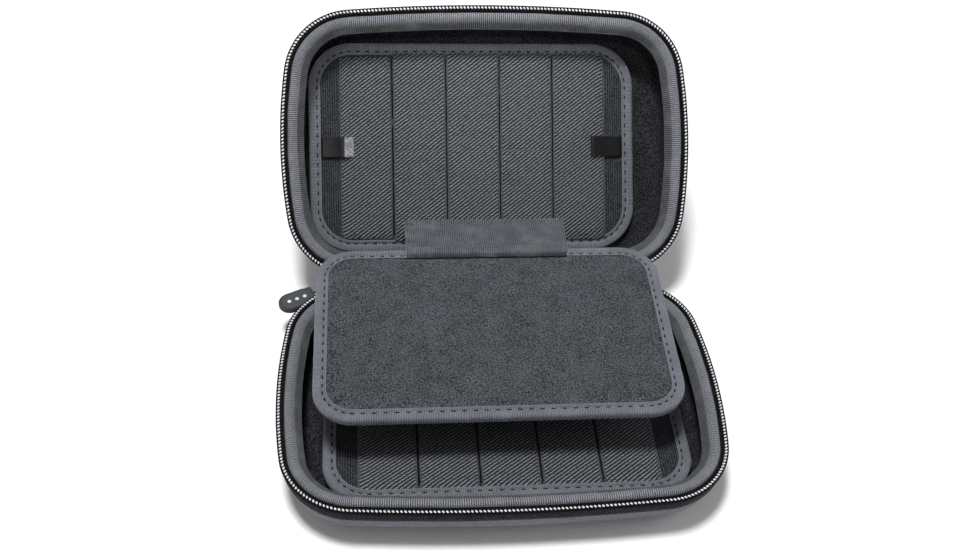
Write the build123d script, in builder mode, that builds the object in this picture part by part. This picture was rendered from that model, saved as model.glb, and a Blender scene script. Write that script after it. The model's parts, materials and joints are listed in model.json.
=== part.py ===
from build123d import *
import math
import os

os.makedirs("parts", exist_ok=True)

# Small zip-closed hard case, open, with a loose divider flap between its two trays.
# Millimetres. The origin is the centre of the base's flat underside, X to the right,
# Y towards the hinge at the back, Z up.

# Rim outline of both halves, measured to the outer edge of the zip teeth
rim_width = 205.0
rim_length = 134.4
side_bow = 9.0
front_bow = 5.0
corner_radius = 34.0

# Moulded shells
base_depth = 27.0
lid_depth = 31.0
wall = 3.2
wall_inset = 1.9
upright_height = 8.5
wall_draft = 8.0
bottom_radius = 11.0
floor_radius = 5.6
lining_thickness = 0.6
bond_gap = 0.05

# Padded roll along each rim: a piping core under a ribbed binding
roll_inset = 3.2
roll_width = 8.2
roll_height = 6.5
roll_crest_gap = 0.5
roll_fillet = 3.9
binding_skin = 0.7

# Zip
coil_size = 2.2
coil_gap = 1.0
tape_thickness = 0.85
tape_inset = 1.0
zip_end_clearance = 6.0
stop_length = 3.2
stop_margin = 0.1

# Fabric hinge and lid
hinge_offset = 1.6
hinge_width = 100.0
hinge_leaf_height = 12.0
hinge_leaf_thickness = 0.9
hinge_fold_radius = 0.45
hinge_running_gap = 0.3
lid_angle = 134.7

# Fabric panels that lie in both halves
panel_side_margin = 18.5
panel_end_margin = 13.7
panel_radius = 22.0
panel_thickness = 4.7
board_thickness = 2.6
board_edge = 1.1
felt_thickness = 0.6
panel_binding_width = 6.0
panel_seat_gap = 0.2
base_panel_shift = (2.2, 1.8)
lid_panel_shift = (5.5, 1.8)

# Elastic bands sewn across each panel
band_count = 5
band_side_strip = 9.25
band_gap = 0.9
band_thickness = 1.0

# Ribbon tabs of the lid panel
ribbon_length = 16.5
ribbon_width = 10.2
ribbon_thickness = 0.5
ribbon_gap = 0.2

# Divider flap and the ribbed tape that hangs it in the lid
flap_side_clearance = 7.6
flap_end_clearance = 3.8
flap_radius = 18.3
flap_thickness = 4.6
flap_shift = -1.8
flap_edge_gap = 1.6
pivot_from_hinge = 14.6
pivot_above_rim = 3.1
tape_width = 83.0
tape_sewn_top = 29.5
tape_sewn_length = 3.5
tape_leaf = 0.8
tape_fold_radius = 0.7
tape_fold_gap = 0.15
tape_drop = 2.0
tape_on_flap = 6.5

# Zip slider and its puller, at the back left corner
slider_angle = 114.0
slider_length = 9.0
slider_plate = 1.2
slider_running_gap = 0.3
slider_top = 0.5
slider_height = 11.5
slider_inner_height = 4.1
bridge_reach = 3.6
bridge_wire = 0.7
bridge_top = 2.0
bridge_bottom = 10.6
bridge_bend = 1.2
pull_drop = 8.2
link_wire = 0.55
link_bend = 1.85
link_span = 7.6
pull_root = 5.6
pull_reach = 24.1
pull_width = 10.9
pull_thickness = 3.2
pull_edge = 0.8

# Sizes and places worked out from the values above
half_width = rim_width / 2
half_length = rim_length / 2
side_arc = half_length**2 / (2 * side_bow) + side_bow / 2
front_corner_y = front_bow - half_length
front_corner_x = half_width - side_arc + math.sqrt(side_arc**2 - front_corner_y**2)
front_arc = front_corner_x**2 / (2 * front_bow) + front_bow / 2
wall_slope = math.tan(math.radians(wall_draft))
mouth_inset = roll_inset + roll_width
cavity_inset = wall_inset + wall
roll_floor = roll_crest_gap + roll_height
hinge_y = half_length + hinge_offset
panel_width = rim_width - 2 * panel_side_margin
panel_length = rim_length - 2 * panel_end_margin
flap_width = rim_width - 2 * (mouth_inset + flap_side_clearance)
flap_length = rim_length - 2 * (mouth_inset + flap_end_clearance)
board_floor = (panel_thickness - board_thickness - felt_thickness) / 2
band_top = board_floor + board_thickness + felt_thickness + band_thickness + 2 * bond_gap
window_width = panel_width - 2 * panel_binding_width
window_length = panel_length - 2 * panel_binding_width

zip_end = hinge_width / 2 + zip_end_clearance
band_pitch = (window_width - 2 * band_side_strip) / band_count

base_rim = Plane(origin=(0, 0, base_depth))
open_sin = math.sin(math.radians(lid_angle))
open_cos = math.cos(math.radians(lid_angle))
lid_rim = Plane(
    origin=(0, hinge_y - open_cos * hinge_y, base_depth + open_sin * hinge_y),
    x_dir=(-1, 0, 0),
    z_dir=(0, -open_sin, -open_cos),
)

# Centre of the back left corner's arc, which the slider travels round
corner_y = half_length - corner_radius
corner_x = side_arc - half_width - math.sqrt((side_arc - corner_radius) ** 2 - corner_y**2)


def finish(builder, name):
    """Names a finished piece and writes it."""
    builder.part.label = name
    export_step(builder.part, f"parts/{name}.step")


def local_plane(plane, x, y, z):
    """A plane like the given one, moved to a point in its own coordinates."""
    return Plane(
        origin=plane.from_local_coords(Vector(x, y, z)), x_dir=plane.x_dir, z_dir=plane.z_dir
    )


def across(plane):
    """The cross-section plane of a half: its local x runs to the hinge, its local y up."""
    return Plane(origin=plane.origin, x_dir=plane.y_dir, z_dir=plane.x_dir)


def rim_face(plane, inset, level):
    """The rim outline moved inwards by inset, at a level over the rim plane."""
    with BuildSketch(plane.offset(level)) as face:
        with Locations((half_width - side_arc, 0)):
            Circle(side_arc - inset)
        with Locations((side_arc - half_width, 0)):
            Circle(side_arc - inset, mode=Mode.INTERSECT)
        with Locations((0, front_arc - half_length)):
            Circle(front_arc - inset, mode=Mode.INTERSECT)
        with Locations((0, half_length - inset)):
            Rectangle(
                rim_width,
                rim_length,
                align=(Align.CENTER, Align.MAX),
                mode=Mode.INTERSECT,
            )
        fillet(face.vertices(), corner_radius - inset)
    return face.sketch


def level_faces(part, plane):
    """The faces of a part that are parallel to the rim, lowest first."""
    upwards = Axis(plane.origin, plane.z_dir)
    return part.faces().filter_by(upwards).sort_by(upwards)


def make_block(plane, inset, floor, top, radius):
    """A solid with an upright rim, drafted sides and a rounded bottom edge."""
    with BuildPart() as block:
        extrude(rim_face(plane, inset, -upright_height), amount=upright_height - top)
        drafted = floor - upright_height
        loft(
            [
                rim_face(plane, inset, -upright_height),
                rim_face(plane, inset + drafted * wall_slope, -floor),
            ]
        )
        fillet(level_faces(block, plane)[0].edges(), radius)
    return block.part


def make_cup(plane, inset, thickness, floor, top, outer_radius, inner_radius):
    """A tray: a rounded solid with a smaller one taken out of it."""
    with BuildPart() as cup:
        add(make_block(plane, inset, floor, top, outer_radius))
        add(
            make_block(plane, inset + thickness, floor - thickness, top, inner_radius),
            mode=Mode.SUBTRACT,
        )
    return cup


def make_ring(plane, outer_inset, inner_inset, bottom, top, radius=0.0):
    """A closed ring that follows the rim, with its top and bottom edges rounded."""
    with BuildPart() as ring:
        extrude(rim_face(plane, outer_inset, -bottom), amount=bottom - top)
        extrude(rim_face(plane, inner_inset, -bottom), amount=bottom - top, mode=Mode.SUBTRACT)
        if radius:
            fillet(level_faces(ring, plane)[-1].edges(), radius)
    return ring


def make_roll_binding(plane):
    """The ribbed binding: a rounded skin over the piping core."""
    with BuildPart() as skin:
        extrude(rim_face(plane, roll_inset, -roll_floor), amount=roll_height)
        extrude(rim_face(plane, mouth_inset, -roll_floor), amount=roll_height, mode=Mode.SUBTRACT)
        fillet(level_faces(skin, plane)[-1].edges(), roll_fillet)
        add(make_piping(plane, binding_skin - bond_gap).part, mode=Mode.SUBTRACT)
    return skin


def make_piping(plane, skin):
    """The soft cord inside the binding, a skin's thickness smaller all round."""
    return make_ring(
        plane,
        roll_inset + skin,
        mouth_inset - skin,
        roll_floor,
        roll_crest_gap + skin,
        roll_fillet - skin,
    )


def open_back(builder, plane):
    """Cuts the middle of the back out of a ring, where the fabric hinge is."""
    with Locations(local_plane(plane, 0, half_length, 0)):
        Box(2 * zip_end, corner_radius, lid_depth, mode=Mode.SUBTRACT)


def make_zip_coil(plane):
    """The row of zip teeth as one bead round the front, the sides and the back corners."""
    with BuildPart() as coil:
        extrude(rim_face(plane, 0, -coil_gap - coil_size), amount=coil_size)
        extrude(
            rim_face(plane, coil_size, -coil_gap - coil_size), amount=coil_size, mode=Mode.SUBTRACT
        )
        levels = level_faces(coil, plane)
        fillet(levels[0].edges() + levels[-1].edges(), coil_size / 2 - bond_gap)
        open_back(coil, plane)
    return coil


def make_zip_tape(plane):
    """The woven tape under the teeth, sewn on the outside of the wall."""
    with BuildPart() as tape:
        top = coil_gap + coil_size + bond_gap
        extrude(rim_face(plane, tape_inset, -upright_height), amount=upright_height - top)
        extrude(
            rim_face(plane, tape_inset + tape_thickness, -upright_height),
            amount=upright_height - top,
            mode=Mode.SUBTRACT,
        )
        open_back(tape, plane)
    return tape


def make_zip_stops(plane):
    """The two clamped stops at the ends of the teeth."""
    with BuildPart() as stops:
        for side in (-1, 1):
            x = side * (zip_end - stop_margin - stop_length / 2)
            y = half_length - coil_size / 2
            z = -coil_gap - coil_size / 2
            with Locations(local_plane(plane, x, y, z)):
                Box(stop_length, coil_size, coil_size)
        fillet(stops.edges(), stop_margin * 2)
    return stops


def make_hinge_leaf(plane, fold_gap):
    """One half's leaf of the fabric hinge, from the wall's outside to the fold."""
    wall_face = half_length - wall_inset + bond_gap
    leaf_face = wall_face + hinge_leaf_thickness
    edge = hinge_y - 2 * bond_gap
    with BuildPart() as leaf:
        with BuildSketch(across(plane)):
            Polygon(
                (wall_face, -hinge_leaf_height),
                (leaf_face, -hinge_leaf_height),
                (leaf_face, -2 * hinge_offset),
                (edge, -hinge_leaf_thickness - 2 * bond_gap),
                (edge, -2 * bond_gap),
                (edge - hinge_leaf_thickness, -2 * bond_gap),
                (wall_face, -hinge_leaf_thickness - hinge_offset),
                align=None,
            )
        extrude(amount=hinge_width / 2, both=True)
        with BuildSketch(across(plane)):
            with Locations((hinge_y, 0)):
                Circle(hinge_fold_radius + fold_gap)
        extrude(amount=hinge_width, both=True, mode=Mode.SUBTRACT)
    return leaf


def make_board(plane, width, length, radius):
    """The stiff board inside a panel."""
    with BuildPart() as board:
        with BuildSketch(plane.offset(board_floor)):
            RectangleRounded(
                width - 2 * board_edge, length - 2 * board_edge, radius - board_edge
            )
        extrude(amount=board_thickness)
    return board


def make_binding(plane, width, length, radius, thickness):
    """The ribbed binding that wraps a board's edge."""
    slot_edge = board_edge - bond_gap
    with BuildPart() as binding:
        with BuildSketch(plane):
            RectangleRounded(width, length, radius)
        extrude(amount=thickness)
        levels = level_faces(binding, plane)
        fillet(levels[0].edges() + levels[-1].edges(), thickness / 2 - 2 * bond_gap)
        with BuildSketch(plane):
            RectangleRounded(
                width - 2 * panel_binding_width,
                length - 2 * panel_binding_width,
                radius - panel_binding_width,
            )
        extrude(amount=thickness, mode=Mode.SUBTRACT)
        with BuildSketch(plane.offset(board_floor - bond_gap)):
            RectangleRounded(width - 2 * slot_edge, length - 2 * slot_edge, radius - slot_edge)
        extrude(amount=board_thickness + 2 * bond_gap, mode=Mode.SUBTRACT)
    return binding


def make_felt(plane, width, length, radius, level):
    """The felt face inside a binding's window."""
    edge = panel_binding_width + bond_gap
    with BuildPart() as felt:
        with BuildSketch(plane.offset(level)):
            RectangleRounded(width - 2 * edge, length - 2 * edge, radius - edge)
        extrude(amount=felt_thickness)
    return felt


def make_band(plane, index):
    """One elastic band across a panel, from one side of its binding to the other."""
    level = band_top - band_thickness
    x = (index - (band_count - 1) / 2) * band_pitch
    with BuildPart() as band:
        with BuildSketch(plane.offset(level)):
            with Locations((x, 0)):
                Rectangle(band_pitch - band_gap, window_length)
            RectangleRounded(
                window_width - 2 * bond_gap,
                window_length - 2 * bond_gap,
                panel_radius - panel_binding_width - bond_gap,
                mode=Mode.INTERSECT,
            )
        extrude(amount=band_thickness)
    return band


def make_ribbon(plane, side):
    """A satin tab that lies from the binding's inner edge over the outermost band."""
    with BuildPart() as ribbon:
        with BuildSketch(plane.offset(band_top + ribbon_gap)):
            with Locations((side * (window_width / 2 - ribbon_gap - ribbon_length / 2), 0)):
                Rectangle(ribbon_length, ribbon_width)
        extrude(amount=ribbon_thickness)
        fillet(ribbon.edges().filter_by(Axis(plane.origin, plane.y_dir)), ribbon_thickness / 3)
    return ribbon


# The two halves: the same pieces, on the base's rim plane and on the lid's
for half, plane, depth, shift in (
    ("base", base_rim, base_depth, base_panel_shift),
    ("lid", lid_rim, lid_depth, lid_panel_shift),
):
    finish(
        make_cup(
            plane, wall_inset, wall, depth, roll_floor + bond_gap, bottom_radius, floor_radius
        ),
        f"{half}_shell",
    )
    finish(
        make_cup(
            plane,
            cavity_inset + bond_gap,
            lining_thickness,
            depth - wall - bond_gap,
            roll_floor + bond_gap,
            floor_radius - bond_gap,
            floor_radius - lining_thickness,
        ),
        f"{half}_lining",
    )
    finish(make_roll_binding(plane), f"{half}_rim_binding")
    finish(make_piping(plane, binding_skin), f"{half}_rim_piping")
    finish(make_zip_tape(plane), f"{half}_zip_tape")
    finish(make_zip_coil(plane), f"{half}_zip_coil")
    finish(make_zip_stops(plane), f"{half}_zip_stops")

    panel_floor = depth - wall - lining_thickness - panel_seat_gap - bond_gap
    panel = local_plane(plane, shift[0], shift[1], -panel_floor)
    panel_size = (panel_width, panel_length, panel_radius)
    finish(make_board(panel, *panel_size), f"{half}_panel_board")
    finish(make_binding(panel, *panel_size, panel_thickness), f"{half}_panel_binding")
    felt_level = board_floor + board_thickness + bond_gap
    finish(make_felt(panel, *panel_size, felt_level), f"{half}_panel_felt")
    for index in range(band_count):
        finish(make_band(panel, index), f"{half}_elastic_band_{index + 1}")

lid_panel = panel
finish(make_ribbon(lid_panel, 1), "ribbon_tab_left")
finish(make_ribbon(lid_panel, -1), "ribbon_tab_right")

finish(make_hinge_leaf(base_rim, bond_gap), "hinge_leaf_base")
finish(make_hinge_leaf(lid_rim, hinge_running_gap), "hinge_leaf_lid")

# The fold of the fabric hinge, on the lid's axis
with BuildPart() as hinge_fold:
    with BuildSketch(across(base_rim)):
        with Locations((hinge_y, 0)):
            Circle(hinge_fold_radius)
    extrude(amount=hinge_width / 2, both=True)
finish(hinge_fold, "hinge_fold")

# The ribbed tape: a leaf that hangs from the lid panel, a fold, and a leaf on the flap
pivot_y = hinge_y - pivot_from_hinge
lid_section = across(lid_rim)
lid_panel_top = lid_depth - wall - lining_thickness - panel_seat_gap - band_top - 2 * bond_gap
sewn_y = hinge_y - tape_sewn_top
fold_reach = tape_fold_radius + tape_fold_gap
sewn_level = -lid_panel_top + tape_leaf / 2
with BuildPart() as tape_upper:
    with BuildSketch(lid_section):
        with BuildLine():
            Polyline(
                (sewn_y, sewn_level),
                (sewn_y + tape_sewn_length, sewn_level),
                (pivot_y, -tape_drop),
                (pivot_y, pivot_above_rim - fold_reach - tape_leaf / 2),
            )
            offset(amount=tape_leaf / 2, side=Side.BOTH)
        make_face()
    extrude(amount=tape_width / 2, both=True)
finish(tape_upper, "hinge_tape_upper")

with BuildPart() as tape_fold:
    with BuildSketch(lid_section):
        with Locations((pivot_y, pivot_above_rim)):
            Circle(tape_fold_radius)
    extrude(amount=tape_width / 2, both=True)
finish(tape_fold, "hinge_tape_fold")

# The flap lies level, its middle at the height of the tape's fold
fold_point = lid_rim.from_local_coords(Vector(0, pivot_y, pivot_above_rim))
flap_middle = Plane(origin=fold_point)
flap_floor = local_plane(
    flap_middle, flap_shift, -flap_edge_gap - flap_length / 2, -flap_thickness / 2
)
flap_size = (flap_width, flap_length, flap_radius)
finish(make_board(flap_floor, *flap_size), "flap_board")
finish(make_binding(flap_floor, *flap_size, flap_thickness), "flap_binding")
felt_level = board_floor + board_thickness + bond_gap
finish(make_felt(flap_floor, *flap_size, felt_level), "flap_felt_top")
finish(
    make_felt(flap_floor, *flap_size, board_floor - felt_thickness - bond_gap), "flap_felt_bottom"
)

with BuildPart() as tape_lower:
    with BuildSketch(across(flap_middle)):
        top = flap_thickness / 2 + bond_gap
        back = -fold_reach
        Polygon(
            (back, 0),
            (back, top + tape_leaf),
            (-flap_edge_gap - tape_on_flap, top + tape_leaf),
            (-flap_edge_gap - tape_on_flap, top),
            (back - tape_leaf * 0.8, top),
            (back - tape_leaf * 0.8, 0),
            align=None,
        )
    extrude(amount=tape_width / 2, both=True)
finish(tape_lower, "hinge_tape_lower")


def slider_sector(outer, inner, level):
    """A stretch of the corner's arc, as long as the slider, on a level over the rim plane."""
    spread = math.degrees(slider_length / 2 / corner_radius)
    reach = 2 * corner_radius
    with BuildSketch(base_rim.offset(level)) as sector:
        with Locations((corner_x, corner_y)):
            Circle(corner_radius + outer)
            Circle(corner_radius + inner, mode=Mode.SUBTRACT)
            Polygon(
                (0, 0),
                (
                    reach * math.cos(math.radians(slider_angle - spread)),
                    reach * math.sin(math.radians(slider_angle - spread)),
                ),
                (
                    reach * math.cos(math.radians(slider_angle + spread)),
                    reach * math.sin(math.radians(slider_angle + spread)),
                ),
                align=None,
                mode=Mode.INTERSECT,
            )
    return sector.sketch


# Slider: a saddle over the teeth with a tall outer plate and a short inner one
outer_face = slider_running_gap + slider_plate
inner_face = -coil_size - slider_running_gap
inner_plate = slider_plate / 2
with BuildPart() as slider_body:
    web = coil_gap - slider_running_gap + slider_top
    extrude(slider_sector(outer_face, inner_face - inner_plate, slider_top - web), amount=web)
    extrude(
        slider_sector(outer_face, slider_running_gap, slider_top - slider_height),
        amount=slider_height,
    )
    extrude(
        slider_sector(inner_face, inner_face - inner_plate, slider_top - slider_inner_height),
        amount=slider_inner_height,
    )
finish(slider_body, "slider_body")

# Bridge: a wire staple on the outer plate, whose upright the puller turns on
turn = math.radians(slider_angle)
slider_out = Vector(math.cos(turn), math.sin(turn), 0)
corner_centre = Vector(corner_x, corner_y, base_depth)
plate_point = corner_centre + slider_out * (corner_radius + outer_face + bond_gap)
bridge_plane = Plane(
    origin=plate_point, x_dir=slider_out, z_dir=Vector(slider_out.Y, -slider_out.X, 0)
)
with BuildPart() as slider_bridge:
    with BuildLine(bridge_plane) as staple:
        FilletPolyline(
            (0, -bridge_top),
            (bridge_reach, -bridge_top),
            (bridge_reach, -bridge_bottom),
            (0, -bridge_bottom),
            radius=bridge_bend,
        )
    with BuildSketch(Plane(origin=staple.line @ 0, z_dir=staple.line % 0)):
        Circle(bridge_wire)
    sweep()
finish(slider_bridge, "slider_bridge")

# Puller: a wire link round the upright, moulded into a rubber tab
pivot_point = plate_point + slider_out * bridge_reach
pull_plane = Plane(
    origin=pivot_point - Vector(0, 0, pull_drop), x_dir=Vector(-slider_out.Y, slider_out.X, 0)
)
with BuildPart() as pull_link:
    with BuildLine(pull_plane) as loop:
        Line((0, link_bend), (link_span, link_bend))
        ThreePointArc(
            (link_span, link_bend), (link_span + link_bend, 0), (link_span, -link_bend)
        )
        Line((link_span, -link_bend), (0, -link_bend))
        ThreePointArc((0, -link_bend), (-link_bend, 0), (0, link_bend))
    with BuildSketch(Plane(origin=loop.line @ 0, z_dir=loop.line % 0)):
        Circle(link_wire)
    sweep()
finish(pull_link, "pull_link")

with BuildPart() as pull_tab:
    with BuildSketch(pull_plane.offset(-pull_thickness / 2)):
        body = pull_reach - pull_root - pull_width / 2
        with Locations((pull_root + body / 2, 0)):
            Rectangle(body, pull_width)
        with Locations((pull_reach - pull_width / 2, 0)):
            Circle(pull_width / 2)
    extrude(amount=pull_thickness)
    fillet(pull_tab.edges(), pull_edge)
    add(pull_link.part, mode=Mode.SUBTRACT)
finish(pull_tab, "pull_tab")
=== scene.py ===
"""Looks of a small zip-closed hard case that stands open.

The case has a base tray and a lid tray, each with a padded rim, a zip and a panel under elastic
bands, and a loose divider flap that hangs from the lid panel on a ribbed tape. All lengths in the
classes are millimetres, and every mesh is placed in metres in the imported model's frame.
"""

import json
import logging
import math
from contextlib import contextmanager
from dataclasses import dataclass, field
from enum import Enum
from functools import cached_property, partial
from typing import Any, Callable, Iterator, Protocol, Sequence

import bmesh
import bpy
from mathutils import Matrix, Vector, noise

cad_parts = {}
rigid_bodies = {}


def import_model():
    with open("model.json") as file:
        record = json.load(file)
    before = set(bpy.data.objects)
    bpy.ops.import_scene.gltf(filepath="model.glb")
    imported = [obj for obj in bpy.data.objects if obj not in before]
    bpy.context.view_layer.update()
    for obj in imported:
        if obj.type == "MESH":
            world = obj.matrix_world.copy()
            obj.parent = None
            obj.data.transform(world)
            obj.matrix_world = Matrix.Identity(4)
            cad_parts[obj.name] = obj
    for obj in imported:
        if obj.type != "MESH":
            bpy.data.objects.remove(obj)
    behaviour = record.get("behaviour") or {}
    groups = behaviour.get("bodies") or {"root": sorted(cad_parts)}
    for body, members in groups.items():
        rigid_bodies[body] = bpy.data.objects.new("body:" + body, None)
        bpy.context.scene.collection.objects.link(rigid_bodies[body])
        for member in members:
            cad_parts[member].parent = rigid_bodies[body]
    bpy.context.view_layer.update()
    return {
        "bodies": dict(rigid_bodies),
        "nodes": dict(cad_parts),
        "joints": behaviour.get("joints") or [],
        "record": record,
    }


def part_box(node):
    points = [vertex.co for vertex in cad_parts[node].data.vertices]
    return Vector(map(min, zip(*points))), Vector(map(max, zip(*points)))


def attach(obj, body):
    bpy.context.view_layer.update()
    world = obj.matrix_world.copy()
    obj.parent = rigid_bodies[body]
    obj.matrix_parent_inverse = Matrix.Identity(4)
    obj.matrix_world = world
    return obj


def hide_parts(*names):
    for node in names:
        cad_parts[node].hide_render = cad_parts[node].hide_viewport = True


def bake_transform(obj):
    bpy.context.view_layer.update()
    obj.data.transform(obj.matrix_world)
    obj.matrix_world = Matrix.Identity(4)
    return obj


LOG = logging.getLogger("hard_case")
MM = 0.001
TAU = 2 * math.pi

Pair = tuple[float, float]
Triple = tuple[float, float, float]
Colour = Triple
Piece = bpy.types.Object
Socket = bpy.types.NodeSocket
Place = Callable[[float, float], Vector]
Spot = tuple[Vector, Vector, Vector]


class Sewing(Enum):
    """How a row of stitches lies: its depth under the face of its cloth."""

    SUNK = 0.12
    PROUD = -0.1


class Face(Enum):
    """The face of a panel, by the way that it looks."""

    TOP = 1
    UNDER = -1


class Tab(Enum):
    """The two ribbon tabs, by the side of the panel that each is sewn to."""

    LEFT = -1
    RIGHT = 1


# ---- finishes

FIBRE_LIGHT = (0.8, 0.82, 0.88)


def linear(colour: Colour) -> tuple[float, ...]:
    """Turns a colour as seen, from 0 to 1, into the shader's linear values."""
    parts = [c / 12.92 if c <= 0.04045 else ((c + 0.055) / 1.055) ** 2.4 for c in colour]
    return (*parts, 1.0)


class Nodes:
    """A node tree whose nodes are made and joined in one call each."""

    def __init__(self, tree: bpy.types.NodeTree) -> None:
        """Takes the tree that the nodes go into."""
        self.tree = tree

    def fill(self, entry: Socket, value: Any) -> None:
        """Joins a socket to an input, or sets a plain value on it.

        Args:
            entry: the input.
            value: the socket or the value.
        """
        if isinstance(value, Socket):
            self.tree.links.new(value, entry)
        else:
            entry.default_value = value

    def node(self, kind: str, values: dict | None = None, **settings: Any) -> bpy.types.Node:
        """Adds a node.

        Args:
            kind: the node's type name.
            values: input name or number, to a value or a socket to join.
            settings: properties of the node itself.

        Returns:
            The new node.
        """
        made = self.tree.nodes.new(kind)
        for key, value in settings.items():
            setattr(made, key, value)
        for key, value in (values or {}).items():
            self.fill(made.inputs[key], value)
        return made

    def math(self, operation: str, *values: Socket | float) -> Socket:
        """Adds one arithmetic node and returns its result."""
        return self.node("ShaderNodeMath", dict(enumerate(values)), operation=operation).outputs[0]

    def seen(self) -> Socket:
        """Finds where the view, a reflection or clear plastic looks at a surface.

        Returns:
            1 there and 0 elsewhere.
        """
        path = self.node("ShaderNodeLightPath").outputs
        total = path["Is Camera Ray"]
        for name in ("Is Glossy Ray", "Is Transmission Ray"):
            total = self.math("MAXIMUM", total, path[name])
        return total


class Graph(Nodes):
    """A material's nodes round one principled shader."""

    def __init__(self, name: str, roughness: float, gloss: float = 0.5) -> None:
        """Starts a material.

        Args:
            name: the material's name.
            roughness: the shader's roughness, the same all over.
            gloss: the shader's specular level, which is low for loose fibres.
        """
        self.material = bpy.data.materials.new(name)
        self.material.use_nodes = True
        super().__init__(self.material.node_tree)
        self.shader = self.tree.nodes["Principled BSDF"]
        self.shader.inputs["Roughness"].default_value = roughness
        self.shader.inputs["Specular IOR Level"].default_value = gloss

    def axes(self, place: Socket) -> list[Socket]:
        """Returns the three parts of a place."""
        return list(self.node("ShaderNodeSeparateXYZ", {0: place}).outputs)

    def cloth_axes(self) -> list[Socket]:
        """Returns the lengths along and across a piece's own cloth, in metres."""
        return self.axes(self.node("ShaderNodeUVMap", uv_map="cloth").outputs[0])[:2]

    def place(self) -> Socket:
        """Returns the place on the piece, in metres."""
        return self.node("ShaderNodeTexCoord").outputs["Object"]

    def scaled(self, scale: Triple) -> Socket:
        """Returns the place on the piece, scaled in each axis."""
        values = {"Vector": self.place(), "Scale": Vector(scale)}
        return self.node("ShaderNodeMapping", values).outputs[0]

    def ribs(self, along: Socket, pitch: float) -> Socket:
        """Returns a wave from 0 to 1 along a length, with its pitch in millimetres."""
        phase = self.math("MULTIPLY", along, TAU / (pitch * MM))
        return self.math("MULTIPLY_ADD", self.math("SINE", phase), 0.5, 0.5)

    def fuzz(
        self, size: float, detail: float = 3.0, stretch: Triple | None = None, twist: float = 0.0
    ) -> Socket:
        """Makes soft noise.

        Args:
            size: the size of its patches in millimetres.
            detail: how many finer layers lie in it.
            stretch: scale of the place in each axis.
            twist: how far its patches curl.

        Returns:
            The noise's value from 0 to 1.
        """
        place = self.scaled(stretch) if stretch else self.place()
        values = {"Vector": place, "Scale": 1 / (size * MM), "Detail": detail, "Distortion": twist}
        return self.node("ShaderNodeTexNoise", values).outputs[0]

    def ramp(self, value: Socket, low: float, high: float) -> Socket:
        """Returns the value stretched so that low is 0 and high is 1, smoothly."""
        values = {"Value": value, "From Min": low, "From Max": high}
        return self.node("ShaderNodeMapRange", values, interpolation_type="SMOOTHSTEP").outputs[0]

    def blend(
        self, factor: Socket | float, first: Socket | Colour, second: Socket | Colour
    ) -> Socket:
        """Mixes two colours.

        Args:
            factor: the second colour's share.
            first: the first colour.
            second: the second colour.

        Returns:
            The mixed colour.
        """
        values = {"Factor": factor}
        for index, colour in ((6, first), (7, second)):
            values[index] = colour if isinstance(colour, Socket) else linear(colour)
        return self.node("ShaderNodeMix", values, data_type="RGBA").outputs[2]

    def rubbed(self, cloth: Socket, patches: Socket, share: float, tone: Colour) -> Socket:
        """Returns a cloth's colour, paler by a share where its worn patches are."""
        return self.blend(patches, cloth, self.blend(share, cloth, tone))

    def colour(self, socket: Socket) -> None:
        """Joins a colour to the shader."""
        self.fill(self.shader.inputs["Base Color"], socket)

    def bump(self, height: Socket, depth: float) -> None:
        """Joins a height from 0 to 1 to the shader's normal, at a depth in millimetres."""
        made = self.node("ShaderNodeBump", {"Height": height, "Distance": depth * MM})
        self.fill(self.shader.inputs["Normal"], made.outputs[0])

    def sheen(self, weight: float) -> None:
        """Gives the cloth's short fibres their soft edge light."""
        for name, value in (("Weight", weight), ("Roughness", 0.45), ("Tint", linear(FIBRE_LIGHT))):
            self.shader.inputs[f"Sheen {name}"].default_value = value


class Finish(Protocol):
    """Anything that builds a material of its own name."""

    name: str

    def material(self) -> bpy.types.Material:
        """Builds the material."""


@dataclass(frozen=True)
class Grosgrain:
    """Ribbed ribbon whose ribs run across it, and which may darken towards its far edge with
    painted shade.
    """

    name: str
    dark: Colour
    light: Colour
    pitch: float = 1.0
    sheen: float = 0.25
    fibre: float = 0.8
    shaded: Pair | None = None

    def material(self) -> bpy.types.Material:
        """Builds the material.

        Returns:
            The new material.
        """
        graph = Graph(self.name, 0.6, 0.2)
        along, across = graph.cloth_axes()
        shifted = graph.math("MULTIPLY_ADD", graph.fuzz(2.2, 2.0), 0.4 * MM, along)
        ribs = graph.ribs(shifted, self.pitch)
        height = graph.math("MULTIPLY_ADD", graph.ribs(across, 0.42), 0.15, ribs)
        strong = graph.math("MULTIPLY", ribs, 0.6)
        tone = graph.math("MULTIPLY_ADD", graph.fuzz(0.55, 4.0), self.fibre, strong)
        middle = self.fibre / 2 + 0.25
        cloth = graph.blend(graph.ramp(tone, middle - 0.35, middle + 0.35), self.dark, self.light)
        # Painted shade: over the shaded span across the cloth, the colour is drawn towards the dark
        # tone.
        if self.shaded:
            edge = graph.ramp(across, self.shaded[0] * MM, self.shaded[1] * MM)
            cloth = graph.blend(graph.math("MULTIPLY", edge, 0.75), cloth, self.dark)
        worn = graph.ramp(graph.fuzz(9.0, 3.0), 0.4, 0.75)
        graph.colour(graph.rubbed(cloth, worn, 0.16, (0.62, 0.63, 0.65)))
        graph.bump(height, 0.26)
        graph.sheen(self.sheen)
        return graph.material


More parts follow.
